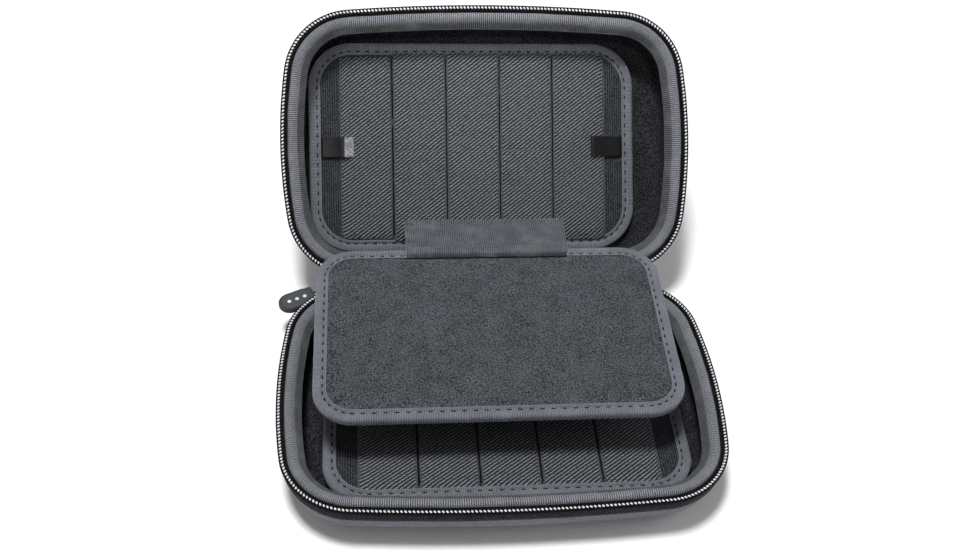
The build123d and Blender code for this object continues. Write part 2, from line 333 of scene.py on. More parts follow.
@dataclass(frozen=True)
class TwillElastic:
    """Elastic with slanted light threads on a dark ground and plain selvedges."""

    name: str
    dark: Colour
    light: Colour
    selvedge: Colour
    width: float
    pitch: float = 1.52
    slant: float = 36.5
    weft: float = 1.25

    def material(self) -> bpy.types.Material:
        """Builds the material.

        Returns:
            The new material.
        """
        graph = Graph(self.name, 0.7, 0.2)
        along, across = graph.cloth_axes()
        angle = math.radians(self.slant)
        wobble = graph.math("MULTIPLY", graph.fuzz(2.5, 2.0), 0.35 * MM)
        first = graph.math("MULTIPLY", along, -math.sin(angle))
        second = graph.math("MULTIPLY_ADD", across, math.cos(angle), first)
        lines = graph.ribs(graph.math("ADD", second, wobble), self.pitch)
        rows = graph.ribs(across, self.weft)
        thread = graph.ramp(graph.math("MULTIPLY_ADD", rows, 0.32, lines), 0.48, 1.12)
        fibre = graph.fuzz(0.6, 3.0)
        shown = graph.math("MULTIPLY", thread, graph.ramp(fibre, 0.2, 0.62))
        twill = graph.blend(shown, self.dark, self.light)
        half = self.width / 2
        edge = graph.math("ABSOLUTE", graph.math("SUBTRACT", along, half * MM))
        border = graph.ramp(edge, (half - 1.0) * MM, (half - 0.7) * MM)
        close = graph.math("MULTIPLY", graph.ribs(across, 0.62), graph.ramp(fibre, 0.25, 0.65))
        plain = graph.blend(close, self.dark, self.selvedge)
        graph.colour(graph.blend(border, twill, plain))
        relief = graph.math("MULTIPLY", thread, graph.math("SUBTRACT", 1.0, border))
        graph.bump(graph.math("MULTIPLY_ADD", fibre, 0.25, relief), 0.34)
        graph.sheen(0.12)
        return graph.material


@dataclass(frozen=True)
class Pile:
    """Felt, velour or brushed fabric: short fibres that catch the light unevenly."""

    name: str
    dark: Colour
    light: Colour
    grain: float = 0.75
    cover: Pair = (0.35, 0.7)
    stretch: Triple = (1.0, 1.0, 1.0)
    sheen: float = 0.15
    depth: float = 0.35
    twist: float = 0.6
    worn: float = 0.12
    rows: float = 0.0

    def material(self) -> bpy.types.Material:
        """Builds the material.

        Returns:
            The new material.
        """
        graph = Graph(self.name, 0.95, 0.1)
        tufts = graph.fuzz(self.grain, 3.0, self.stretch, self.twist)
        patches = graph.math("MULTIPLY", graph.fuzz(self.grain * 12, 2.0), self.worn)
        tone = graph.math("MULTIPLY_ADD", tufts, 1 - self.worn, patches)
        if self.rows:
            sideways = graph.axes(graph.place())[0]
            lines = graph.math("SUBTRACT", graph.ribs(sideways, self.rows), 0.5)
            tone = graph.math("MULTIPLY_ADD", lines, 0.2, tone)
        graph.colour(graph.blend(graph.ramp(tone, *self.cover), self.dark, self.light))
        graph.bump(tufts, self.depth)
        graph.sheen(self.sheen)
        return graph.material


@dataclass(frozen=True)
class CoveredShell:
    """Close-woven fabric bonded to the moulded shell, with flecks pressed into it."""

    name: str
    dark: Colour
    light: Colour
    weave: float = 1.1
    flecks: float = 3.6
    fleck_shape: Triple = (0.55, 0.75, 1.3)

    def material(self) -> bpy.types.Material:
        """Builds the material.

        Returns:
            The new material.
        """
        graph = Graph(self.name, 0.6, 0.3)
        x, y, z = graph.axes(graph.place())
        crossed = [
            graph.ribs(graph.math(way, graph.math(way, x, y), z), self.weave)
            for way in ("ADD", "SUBTRACT")
        ]
        weave = graph.math("MULTIPLY", *crossed)
        fibre = graph.fuzz(0.6, 4.0)
        tone = graph.math("MULTIPLY_ADD", weave, 0.1, graph.math("MULTIPLY", fibre, 0.8))
        cloth = graph.blend(graph.ramp(tone, 0.2, 0.7), self.dark, self.light)
        values = {"Scale": 1 / (self.flecks * MM), "Randomness": 0.6}
        values["Vector"] = graph.scaled(self.fleck_shape)
        cells = graph.node("ShaderNodeTexVoronoi", values).outputs["Distance"]
        pressed = graph.math("SUBTRACT", 1.0, graph.ramp(cells, 0.14, 0.3))
        flecked = graph.rubbed(cloth, pressed, 0.5, (0.06, 0.06, 0.07))
        worn = graph.ramp(graph.fuzz(22.0, 4.0), 0.45, 0.8)
        graph.colour(graph.rubbed(flecked, worn, 0.12, (0.6, 0.61, 0.63)))
        woven = graph.math("MULTIPLY_ADD", weave, 0.25, graph.math("MULTIPLY", fibre, 0.6))
        graph.bump(graph.math("MULTIPLY_ADD", pressed, -0.7, woven), 0.22)
        graph.sheen(0.15)
        return graph.material


@dataclass(frozen=True)
class Moulded:
    """Plastic, rubber, thread or enamel: a smooth surface with small faults."""

    name: str
    base: Colour
    roughness: float = 0.45
    metallic: float = 0.0
    grain: float = 0.8
    depth: float = 0.05
    worn: Colour = (0.35, 0.35, 0.36)
    wear: float = 0.15
    gloss: float = 0.5

    def material(self) -> bpy.types.Material:
        """Builds the material.

        Returns:
            The new material.
        """
        graph = Graph(self.name, self.roughness, self.gloss)
        graph.shader.inputs["Metallic"].default_value = self.metallic
        rubbed = graph.math("MULTIPLY", graph.ramp(graph.fuzz(5.0, 3.0), 0.5, 0.75), self.wear)
        graph.colour(graph.blend(rubbed, self.base, self.worn))
        graph.bump(graph.fuzz(self.grain, 4.0), self.depth)
        return graph.material


@dataclass(frozen=True)
class Satin:
    """Smooth ribbon with fine lengthwise yarns, and a painted highlight from a length along it to
    its end.
    """

    name: str
    dark: Colour
    light: Colour
    # The last colour and the length: the painted highlight's tone, and how far along the ribbon the
    # painted highlight starts.
    painted_highlight: Colour
    turned: float

    def material(self) -> bpy.types.Material:
        """Builds the material.

        Returns:
            The new material.
        """
        graph = Graph(self.name, 0.35, 0.08)
        along, across = graph.cloth_axes()
        yarns = graph.ribs(across, 0.5)
        fibre = graph.math("MULTIPLY", graph.fuzz(0.9, 3.0, (0.3, 1.0, 1.0)), 0.7)
        streaks = graph.ramp(graph.math("MULTIPLY_ADD", yarns, 0.3, fibre), 0.3, 0.72)
        face = graph.blend(streaks, self.dark, self.light)
        # Painted highlight: from that length on, the ribbon is painted pale for the light that its
        # curled end catches.
        back = graph.blend(streaks, self.light, self.painted_highlight)
        over = graph.ramp(along, self.turned * MM, (self.turned + 0.5) * MM)
        graph.colour(graph.blend(over, face, back))
        graph.bump(yarns, 0.06)
        return graph.material


# ---- outlines and sections


@dataclass(frozen=True)
class Stretch:
    """One straight or round part of an outline, run counterclockwise."""

    length: float
    centre: Vector
    radius: float = 0.0
    start: float = 0.0
    end: Vector | None = None

    def at(self, distance: float) -> tuple[Vector, Vector]:
        """Finds a place on the stretch.

        Args:
            distance: how far along it.

        Returns:
            The point and the inward direction.
        """
        if self.end is not None:
            way = (self.end - self.centre).normalized()
            return self.centre + way * distance, Vector((-way.y, way.x))
        angle = self.start + distance / self.radius
        out = Vector((math.cos(angle), math.sin(angle)))
        return self.centre + out * self.radius, -out

    def mirrored(self) -> "Stretch":
        """Turns the stretch over to the other side, run the same way round.

        Returns:
            The mirrored stretch.
        """
        if self.end is not None:
            return straight((-self.end.x, self.end.y), (-self.centre.x, self.centre.y))
        start = 3 * math.pi - self.start - self.length / self.radius
        return Stretch(self.length, Vector((-self.centre.x, self.centre.y)), self.radius, start)


def straight(start: Pair, end: Pair) -> Stretch:
    """Returns a straight stretch between two points."""
    first, last = Vector(start), Vector(end)
    return Stretch((last - first).length, first, end=last)


def curved(centre: Pair | Vector, radius: float, start: float, end: float) -> Stretch:
    """Returns an arc between two angles in radians."""
    return Stretch(radius * (end - start), Vector(centre), radius, start)


@dataclass(frozen=True)
class Outline:
    """A closed outline that starts at the middle of its back and runs to the left."""

    stretches: tuple[Stretch, ...]

    @classmethod
    def even(cls, left: Sequence[Stretch], front: Stretch) -> "Outline":
        """Returns an outline whose right side mirrors its left."""
        return cls((*left, front, *(part.mirrored() for part in reversed(left))))

    @property
    def length(self) -> float:
        """The whole way round."""
        return sum(part.length for part in self.stretches)

    def at(self, distance: float, inset: float = 0.0) -> Vector:
        """Returns a point of the outline, moved inwards.

        Args:
            distance: how far along the outline.
            inset: how far inwards.

        Returns:
            The point in the outline's plane.
        """
        left = min(max(distance, 0.0), self.length)
        for part in self.stretches:
            if left <= part.length + 1e-9 or part is self.stretches[-1]:
                break
            left -= part.length
        point, inwards = part.at(min(left, part.length))
        return point + inwards * inset

    def heading(self, distance: float) -> float:
        """Finds the outline's direction.

        Args:
            distance: how far along the outline.

        Returns:
            The direction in radians.
        """
        step = 0.05
        way = self.at(distance + step) - self.at(max(distance - step, 0.0))
        return math.atan2(way.y, way.x)


def bearing_to(start: Vector, end: Vector) -> float:
    """Returns the direction from one point to another, from 0 to a full turn."""
    return math.atan2(end.y - start.y, end.x - start.x) % TAU


def rim_outline(size: Pair, side_bow: float, front_bow: float, corner: float) -> Outline:
    """Draws the outline of a half's rim: a straight back, bowed sides and front.

    Args:
        size: the most across the sides, and from the back to the front's middle.
        side_bow: how far each side bulges.
        front_bow: how far the front bulges.
        corner: the corners' radius.

    Returns:
        The outline.
    """
    half_w, half_l = size[0] / 2, size[1] / 2
    side = half_l**2 / (2 * side_bow) + side_bow / 2
    front_x = half_w - side + math.sqrt(side**2 - (front_bow - half_l) ** 2)
    front = front_x**2 / (2 * front_bow) + front_bow / 2
    back_y = half_l - corner
    back_x = side - half_w - math.sqrt((side - corner) ** 2 - back_y**2)
    back_corner = Vector((back_x, back_y))
    side_c = Vector((side - half_w, 0.0))
    front_c = Vector((0.0, front - half_l))
    # the front corner's centre lies on both inner circles
    gap = front_c - side_c
    far, near, span = front - corner, side - corner, gap.length
    reach = (near**2 - far**2 + span**2) / (2 * span)
    rise = math.sqrt(near**2 - reach**2)
    along = gap.normalized()
    choices = [side_c + along * reach + Vector((-along.y, along.x)) * rise * k for k in (1, -1)]
    front_corner = min(choices, key=lambda point: point.y)
    side_a = bearing_to(side_c, back_corner)
    side_b = bearing_to(side_c, front_corner)
    front_a = bearing_to(front_c, front_corner)
    left = [
        straight((0, half_l), (back_x, half_l)),
        curved(back_corner, corner, math.pi / 2, side_a),
        curved(side_c, side, side_a, side_b),
        curved(front_corner, corner, side_b, front_a),
    ]
    return Outline.even(left, curved(front_c, front, front_a, 3 * math.pi - front_a))


def panel_outline(size: Pair, corner: float) -> Outline:
    """Draws the outline of a panel: a rectangle with round corners.

    Args:
        size: the panel's width and length.
        corner: the corners' radius.

    Returns:
        The outline.
    """
    side, top = size[0] / 2, size[1] / 2
    x, y = side - corner, top - corner
    left = [
        straight((0, top), (-x, top)),
        curved((-x, y), corner, math.pi / 2, math.pi),
        straight((-side, y), (-side, -y)),
        curved((-x, -y), corner, math.pi, 3 * math.pi / 2),
    ]
    return Outline.even(left, straight((-x, -top), (x, -top)))


def eased(points: Sequence[Pair | Vector], rounds: int, closed: bool) -> list[Vector]:
    """Rounds a section's corners by cutting them, and keeps an open section's ends.

    Args:
        points: the section's corners.
        rounds: how often the corners are cut.
        closed: whether the last point joins the first.

    Returns:
        The rounded section; a closed one ends where it starts.
    """
    line = [Vector(point) for point in points]
    for _ in range(rounds):
        pairs = list(zip(line, line[1:] + line[:1] if closed else line[1:]))
        cut = [p for a, b in pairs for p in (a.lerp(b, 0.25), a.lerp(b, 0.75))]
        line = cut if closed else [line[0]] + cut[1:-1] + [line[-1]]
    return line + [line[0].copy()] if closed else line


def along_line(line: Sequence[Vector], share: float) -> Vector:
    """Finds a point of a broken line.

    Args:
        line: the line's corners.
        share: how far along its corners, from 0 to 1.

    Returns:
        The point.
    """
    spot = share * (len(line) - 1)
    index = min(int(spot), len(line) - 2)
    return line[index].lerp(line[index + 1], spot - index)


def line_length(line: Sequence[Vector]) -> float:
    """Returns a broken line's length."""
    return sum((b - a).length for a, b in zip(line, line[1:]))


def bell(value: float, middle: float, spread: float) -> float:
    """Returns a soft hump that is 1 at its middle and falls off over its spread."""
    return math.exp(-(((value - middle) / spread) ** 2))


def framed(place: Vector, x: Vector, y: Vector, z: Vector) -> Matrix:
    """Returns the frame at a place with these three axes."""
    return Matrix.Translation(place) @ Matrix((x, y, z)).transposed().to_4x4()


# ---- making meshes


def lone(piece: Piece) -> None:
    """Selects one object alone and makes it the active one.

    Args:
        piece: the object.
    """
    bpy.ops.object.select_all(action="DESELECT")
    piece.select_set(True)
    bpy.context.view_layer.objects.active = piece


def primitive(name: str, add: Callable[..., set], **settings: Any) -> Piece:
    """Adds a primitive with nothing else selected.

    Args:
        name: the new piece's name.
        add: the operator that adds it.
        settings: the operator's settings.

    Returns:
        The new piece.
    """
    bpy.ops.object.select_all(action="DESELECT")
    add(**settings)
    piece = bpy.context.active_object
    piece.name = piece.data.name = name
    return piece


@contextmanager
def editing() -> Iterator[None]:
    """Opens the active piece in edit mode with all of it selected, and closes it after use.

    Yields:
        Nothing.
    """
    bpy.ops.object.mode_set(mode="EDIT")
    bpy.ops.mesh.select_all(action="SELECT")
    yield
    bpy.ops.object.mode_set(mode="OBJECT")


def thicken(piece: Piece, thickness: float, offset: int) -> None:
    """Gives a sheet its thickness.

    Args:
        piece: the sheet.
        thickness: how thick it gets.
        offset: 1 to grow it outwards, -1 inwards and 0 both ways.
    """
    lone(piece)
    made = piece.modifiers.new("thickness", "SOLIDIFY")
    made.thickness = thickness * MM
    made.offset = offset
    bpy.ops.object.modifier_apply(modifier=made.name)


def cloth_grid(name: str, columns: int, rows: int, place: Place, size: Pair) -> Piece:
    """Makes a sheet from a grid whose points are put where a rule says.

    Args:
        name: the new piece's name.
        columns: faces along the sheet.
        rows: faces across it.
        place: gives the point, in metres, for the shares along and across.
        size: the sheet's real length and width, for its cloth pattern.

    Returns:
        The new piece.
    """
    grid = bpy.ops.mesh.primitive_grid_add
    piece = primitive(name, grid, x_subdivisions=columns, y_subdivisions=rows, size=2)
    mesh = piece.data
    mesh.uv_layers[0].name = "cloth"
    for loop in mesh.uv_layers["cloth"].data:
        loop.uv = (loop.uv[0] * size[0] * MM, loop.uv[1] * size[1] * MM)
    for point in mesh.vertices:
        point.co = place((point.co.x + 1) / 2, (point.co.y + 1) / 2)
    with editing():
        bpy.ops.mesh.remove_doubles(threshold=2e-6)
        bpy.ops.mesh.normals_make_consistent(inside=False)
    bpy.ops.object.shade_smooth()
    return piece


def bar(name: str, size: Triple, bevel: float, segments: int) -> Piece:
    """Makes a small bar with worn edges, centred on the origin, to be copied along a row.

    Args:
        name: the bar's name.
        size: its length, width and height.
        bevel: how far its edges are rounded.
        segments: how many faces each rounding has.

    Returns:
        The new piece.
    """
    piece = primitive(name, bpy.ops.mesh.primitive_cube_add, size=1)
    with editing():
        bpy.ops.transform.resize(value=[part * MM for part in size])
        bpy.ops.mesh.bevel(offset=bevel * MM, segments=segments, affect="EDGES")
    bpy.ops.object.shade_smooth()
    return piece


def copied(name: str, pattern: Piece, places: Sequence[Matrix]) -> Piece:
    """Makes one piece of many copies of a pattern, and takes the pattern away.

    Args:
        name: the new piece's name.
        pattern: the piece that repeats.
        places: where each copy goes.

    Returns:
        The new piece.
    """
    work = bmesh.new()
    for place in places:
        held = pattern.data.copy()
        held.transform(place)
        work.from_mesh(held)
        bpy.data.meshes.remove(held)
    mesh = bpy.data.meshes.new(name)
    work.to_mesh(mesh)
    work.free()
    for face in mesh.polygons:
        face.use_smooth = True
    piece = bpy.data.objects.new(name, mesh)
    bpy.context.collection.objects.link(piece)
    bpy.data.objects.remove(pattern)
    return piece


@dataclass
class Dressing:
    """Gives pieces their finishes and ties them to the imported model."""

    frame: dict
    finishes: dict[str, bpy.types.Material] = field(default_factory=dict)

    def dress(self, piece: Piece, finish: Finish, body: str, slot: str, *nodes: str) -> None:
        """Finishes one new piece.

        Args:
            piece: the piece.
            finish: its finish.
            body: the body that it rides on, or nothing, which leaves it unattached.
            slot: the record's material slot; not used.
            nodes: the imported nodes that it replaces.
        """
        piece.data.materials.clear()
        piece.data.materials.append(self.material(finish))
        if body:
            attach(piece, body)
        if nodes:
            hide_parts(*nodes)
        LOG.info("%s: %d faces", piece.name, len(piece.data.polygons))

    def material(self, finish: Finish) -> bpy.types.Material:
        """Finds a finish's material, which is built once.

        Args:
            finish: the finish.

        Returns:
            Its material.
        """
        if finish.name not in self.finishes:
            self.finishes[finish.name] = finish.material()
        return self.finishes[finish.name]

    def body_of(self, node: str) -> str:
        """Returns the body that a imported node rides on."""
        bodies = self.frame["record"]["behaviour"]["bodies"]
        return next(name for name, nodes in bodies.items() if node in nodes)

    def redress(self, node: str, finish: Finish) -> None:
        """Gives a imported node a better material.

        Args:
            node: the node's name.
            finish: its finish.
        """
        shown = self.frame["nodes"][node]
        if not shown.material_slots:
            shown.data.materials.append(self.material(finish))
        for holder in shown.material_slots:
            holder.material = self.material(finish)


# ---- the object's finishes

# Painted shade on the hanging tape: the span across its cloth, in millimetres, where it darkens as
# it turns down onto the flap.
TAPE_SHADE = (36.0, 39.2)
BAND_WIDTH = 26.6
BLACK_THREAD = (0.015, 0.015, 0.02)
SHELL_CLOTH = CoveredShell("shell_cloth", (0.27, 0.275, 0.295), (0.50, 0.515, 0.55))
VELOUR = Pile(
    "black_velour", (0.035, 0.035, 0.04), (0.215, 0.218, 0.235), 0.7, (0.38, 0.66), sheen=0.05
)
ROLL_RIBBON = Grosgrain("roll_grosgrain", (0.07, 0.07, 0.08), (0.545, 0.555, 0.58), 1.0)
HEM_RIBBON = Grosgrain("hem_grosgrain", (0.05, 0.05, 0.055), (0.36, 0.365, 0.38), 1.0, 0.1)
EDGE_RIBBON = Grosgrain("edge_grosgrain", (0.14, 0.15, 0.165), (0.50, 0.515, 0.55), 0.72)
HANGING_RIBBON = Grosgrain(
    "hanging_grosgrain", (0.04, 0.042, 0.05), (0.385, 0.40, 0.425), 0.95, 0.12, 1.5, TAPE_SHADE
)
ZIP_CLOTH = Pile("zip_cloth", (0.03, 0.03, 0.035), (0.24, 0.24, 0.25), 0.6, (0.42, 0.72))
ELASTIC = TwillElastic(
    "twill_elastic", (0.075, 0.08, 0.085), (0.495, 0.51, 0.53), (0.41, 0.42, 0.44), BAND_WIDTH
)
PANEL_FELT = Pile(
    "panel_felt", (0.05, 0.055, 0.065), (0.265, 0.275, 0.29), 0.6, (0.38, 0.66), (1.6, 0.7, 0.7),
    rows=1.15,
)
FLAP_FELT = Pile(
    "flap_felt", (0.06, 0.063, 0.07), (0.345, 0.36, 0.38), 0.62, (0.36, 0.64), twist=0.7
)
# The teeth are partly their own pale colour and partly painted highlight: near-white for the glints
# on the coil, with the paler patches as painted glints.
TEETH_AND_PAINTED_GLINTS = Moulded("zip_teeth", (0.84, 0.84, 0.85), 0.25, worn=(0.95, 0.95, 0.96), wear=0.5)
TOOTH_CORD_AND_SHADE = Moulded("tooth_cord", (0.03, 0.03, 0.035), 0.85, wear=0.05, gloss=0.08)
ENAMEL = Moulded("black_enamel", (0.10, 0.10, 0.11), 0.32, 0.4, worn=(0.5, 0.5, 0.5), wear=0.3)
RUBBER = Moulded("puller_rubber", (0.235, 0.245, 0.265), 0.7, depth=0.06, gloss=0.3)
RUBBER_RIM = Moulded("puller_rim", (0.17, 0.175, 0.19), 0.6, depth=0.06, gloss=0.3)
PALE_INLAY = Moulded("pale_inlay", (0.86, 0.86, 0.86), 0.5, worn=(0.7, 0.7, 0.7))
BOARD = Moulded("board", (0.16, 0.16, 0.17), 0.75, depth=0.1, gloss=0.15)
DARK_THREAD = Moulded(
    "dark_thread", (0.04, 0.04, 0.045), 0.9, grain=0.4, depth=0.15, wear=0.05, gloss=0.08
)
HEM_THREAD = Moulded("hem_thread", (0.32, 0.325, 0.34), 0.8, grain=0.4, depth=0.15, gloss=0.2)
PALE_THREAD = Moulded("pale_thread", (0.44, 0.45, 0.47), 0.8, grain=0.4, depth=0.15, gloss=0.2)
# Each tab's satin carries a painted highlight: wide on the left tab's curled end, a thin line at
# the right tab's end.
SATINS = {
    Tab.LEFT: Satin(
        "black_satin_turned", BLACK_THREAD, (0.08, 0.08, 0.085), (0.66, 0.67, 0.69), 9.5
    ),
    Tab.RIGHT: Satin("black_satin", BLACK_THREAD, (0.10, 0.10, 0.105), (0.50, 0.51, 0.53), 16.2),
}


# ---- sewing


@dataclass(frozen=True)
class Seam:
    """A row of stitches."""

    length: float = 2.4
    width: float = 0.75
    height: float = 0.5
    pitch: float = 4.9
    manner: Sewing = Sewing.SUNK
    unevenness: float = 7.0

    def row(self, name: str, run: float, place: Callable[[float], Spot]) -> Piece:
        """Sews a row.

        Args:
            name: the row's name.
            run: the row's length.
            place: gives the point, the way along and the way up, in metres, at a distance.

        Returns:
            The row as one piece.
        """
        count = max(2, round(run / self.pitch))
        spots = []
        for index in range(count):
            point, way, up = place((index + 0.5) * run / count)
            lean = self.unevenness * noise.noise(Vector((index, 3.1, 0)))
            way = (Matrix.Rotation(math.radians(lean), 3, up) @ way).normalized()
            side = up.cross(way).normalized()
            spots.append(framed(point - up * self.manner.value * MM, way, side, up))
        stitch = bar("stitch", (self.length, self.width, self.height), self.height * 0.45, 1)
        return copied(name, stitch, spots)


@dataclass(frozen=True)
class Cord:
    """A thin round thread that follows an edge and sways a little."""

    inset: float
    level: float
    radius: float
    sway: float
    pace: float
    seed: Pair
    columns: int


@dataclass
class Edged:
    """A flat part whose closed edge is followed by cloth, cords and seams."""

    dressing: Dressing
    name: str
    body: str
    matrix: Matrix

    @cached_property
    def outline(self) -> Outline:
        """The part's outer edge."""
        raise NotImplementedError

    def at(self, x: float, y: float, z: float) -> Vector:
        """Returns a point of the part, given in its own millimetres, in metres."""
        return self.matrix @ Vector((x * MM, y * MM, z * MM))

    def dress(self, piece: Piece, finish: Finish, slot: str, *nodes: str) -> None:
        """Finishes a piece that rides on the part's body."""
        self.dressing.dress(piece, finish, self.body, slot, *nodes)

    def spot(
        self, distance: float, inset: float, level: float, lean: float = 0.0, face: Face = Face.TOP
    ) -> Spot:
        """Finds a place along the edge.

        Args:
            distance: how far along the edge.
            inset: how far inside it.
            level: how high.
            lean: the turn from the edge's direction, in degrees.
            face: the side that it looks to.

        Returns:
            The point, the way along and the way up, in metres.
        """
        turn = self.matrix.to_3x3()
        heading = self.outline.heading(distance) + math.radians(lean)
        way = turn @ Vector((math.cos(heading), math.sin(heading), 0))
        point = self.outline.at(distance, inset)
        return self.at(point.x, point.y, level), way, turn @ Vector((0, 0, face.value))

    def lay_cord(self, name: str, cord: Cord) -> Piece:
        """Lays a cord along the edge.

        Args:
            name: the new piece's name.
            cord: the cord.

        Returns:
            The new piece.
        """
        run = self.outline.length

        def place(along: float, across: float) -> Vector:
            """Places the cord's point.

            Args:
                along: its share of the way along the cord.
                across: its share of the way round the cord.

            Returns:
                The point in metres.
            """
            distance, angle = along * run, TAU * across
            sway = cord.sway * noise.noise(Vector((distance * cord.pace, *cord.seed)))
            point = self.outline.at(distance, cord.inset + sway + cord.radius * math.cos(angle))
            return self.at(point.x, point.y, cord.level + cord.radius * math.sin(angle))

        return cloth_grid(name, cord.columns, 6, place, (run, TAU * cord.radius))


# ---- sub-assemblies


@dataclass(frozen=True)
class Felt:
    """A felt face inside a panel's binding, puffed up in its middle by the crown."""

    name: str
    node: str
    finish: Finish
    level: float
    face: Face
    crown: float


@dataclass
class Panel(Edged):
    """A board under felt with a sewn grosgrain edge."""

    size: Pair
    corner: float
    thickness: float
    faces: tuple[Face, ...]
    binding: float = 6.0
    binding_drops: tuple[Pair, ...] = (
        (6.0, 0.55), (5.75, 0.05), (5.1, 0.02), (4.75, 0.45), (3.9, 0.5), (3.4, 0.05), (2.2, 0.0),
        (0.7, 0.1), (0.0, 1.2),
    )
    binding_foot: tuple[Pair, ...] = ((0.0, 1.2), (0.7, 0.1), (2.2, 0.0), (6.0, 0.05))
    seam: Seam = Seam()
    stitch_inset: float = 4.3
    stitch_depth: float = 0.62
    felt_inset: float = 5.3
    felt_border: float = 11.5
    border_share: float = 0.4

    @cached_property
    def outline(self) -> Outline:
        """The panel's outer edge."""
        return panel_outline(self.size, self.corner)

    def reach(self, x: float) -> float:
        """Finds how far the face inside the binding reaches from the panel's middle.

        Args:
            x: the place across the panel.

        Returns:
            The length from the middle to the binding.
        """
        inner = self.corner - self.binding
        over = max(0.0, abs(x) - (self.size[0] / 2 - self.binding - inner))
        return self.size[1] / 2 - self.binding - inner + math.sqrt(max(inner**2 - over**2, 0.0))

    def edge_section(self) -> list[Vector]:
        """Draws the binding's section, from its inner top edge round to the underside.

        Returns:
            The section's points, by inset and height.
        """
        top = [(inset, self.thickness - drop) for inset, drop in self.binding_drops]
        under = self.binding_drops[::-1] if Face.UNDER in self.faces else self.binding_foot
        return eased([*top, *under], 2, False)

    def make_binding(self) -> Piece:
        """Makes the grosgrain edge, drawn in at each stitch.

        Returns:
            The new piece.
        """
        section = self.edge_section()
        run = self.outline.length
        count = round(run / self.seam.pitch)

        def place(along: float, across: float) -> Vector:
            """Places the binding's point.

            Args:
                along: its share along the edge.
                across: its share across the section.

            Returns:
                The point in metres.
            """
            spot = along_line(section, across)
            distance = along * run
            pull = (0.5 - 0.5 * math.cos(TAU * (along * count))) ** 2
            side = 1 if spot.y > self.thickness / 2 else -1
            height = spot.y - side * 0.3 * bell(spot.x, self.stitch_inset, 0.8) * pull
            ease = 0.12 * noise.noise(Vector((distance * 0.22, spot.x * 0.3, self.size[0])))
            point = self.outline.at(distance, spot.x + ease)
            return self.at(point.x, point.y, height + side * ease * 0.5)

        size = (run, line_length(section))
        piece = cloth_grid(f"{self.name}_edge", 640, len(section) - 1, place, size)
        thicken(piece, 0.5, -1)
        return piece

    def make_seam(self, face: Face) -> Piece:
        """Makes the dark stitches of the edge.

        Args:
            face: the face that they are sewn on.

        Returns:
            The new piece.
        """
        depth = self.stitch_depth
        level = self.thickness - depth if face is Face.TOP else depth
        name = f"{self.name}_stitches_{face.name.lower()}"
        place = partial(self.spot, inset=self.stitch_inset, level=level, face=face)
        return self.seam.row(name, self.outline.length, place)

    def make_felt(self, felt: Felt) -> Piece:
        """Makes a felt face inside the binding.

        Args:
            felt: the face.

        Returns:
            The new piece.
        """
        run = self.outline.length
        spine = self.size[0] / 2 - self.size[1] / 2
        side = felt.face.value

        def place(along: float, across: float) -> Vector:
            """Places the felt's point.

            Args:
                along: its share round the edge.
                across: its share of the way inwards.

            Returns:
                The point in metres.
            """
            border = min(across / self.border_share, 1.0)
            point = self.outline.at(along * run, self.felt_inset + border * self.felt_border)
            if across > self.border_share:
                middle = Vector((min(max(point.x, -spine), spine), 0))
                inwards = (across - self.border_share) / (1 - self.border_share)
                point = point.lerp(middle, inwards)
            lumps = 0.12 * noise.noise(Vector((point.x, point.y, side)) * 0.06)
            puff = felt.crown * min(1.0, across * 2.2) + lumps
            return self.at(point.x, point.y, felt.level + side * max(puff, 0.0))

        piece = cloth_grid(felt.name, 240, 26, place, (run, self.size[1] / 2))
        thicken(piece, 0.45, -1)
        return piece

    def build(self, node: str, felts: Sequence[Felt]) -> None:
        """Builds the edge, its seams and the felt.

        Args:
            node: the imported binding's name.
            felts: the felt faces.
        """
        self.dress(self.make_binding(), EDGE_RIBBON, "edge_binding", node)
        for face in self.faces:
            self.dress(self.make_seam(face), DARK_THREAD, "edge_binding")
        level = self.thickness - 0.08
        thread = Cord(5.85, level, 0.24, sway=0.1, pace=0.5, seed=(0.0, 7.0), columns=520)
        piece = self.lay_cord(f"{self.name}_edge_thread", thread)
        self.dress(piece, PALE_THREAD, "edge_binding")
        for felt in felts:
            self.dress(self.make_felt(felt), felt.finish, "felt", felt.node)


@dataclass(frozen=True)
class Strip:
    """A strip along the rim, by its section's insets and heights.

    One with a thickness is an open sheet, and any other is padded, with a closed section.
    """

    tail: str
    finish: Finish
    slot: str
    corners: tuple[Pair, ...]
    columns: int
    rounds: int = 2
    ease: float = 0.0
    stands_for: str = ""
    along_zip: bool = False
    thickness: float = 0.0


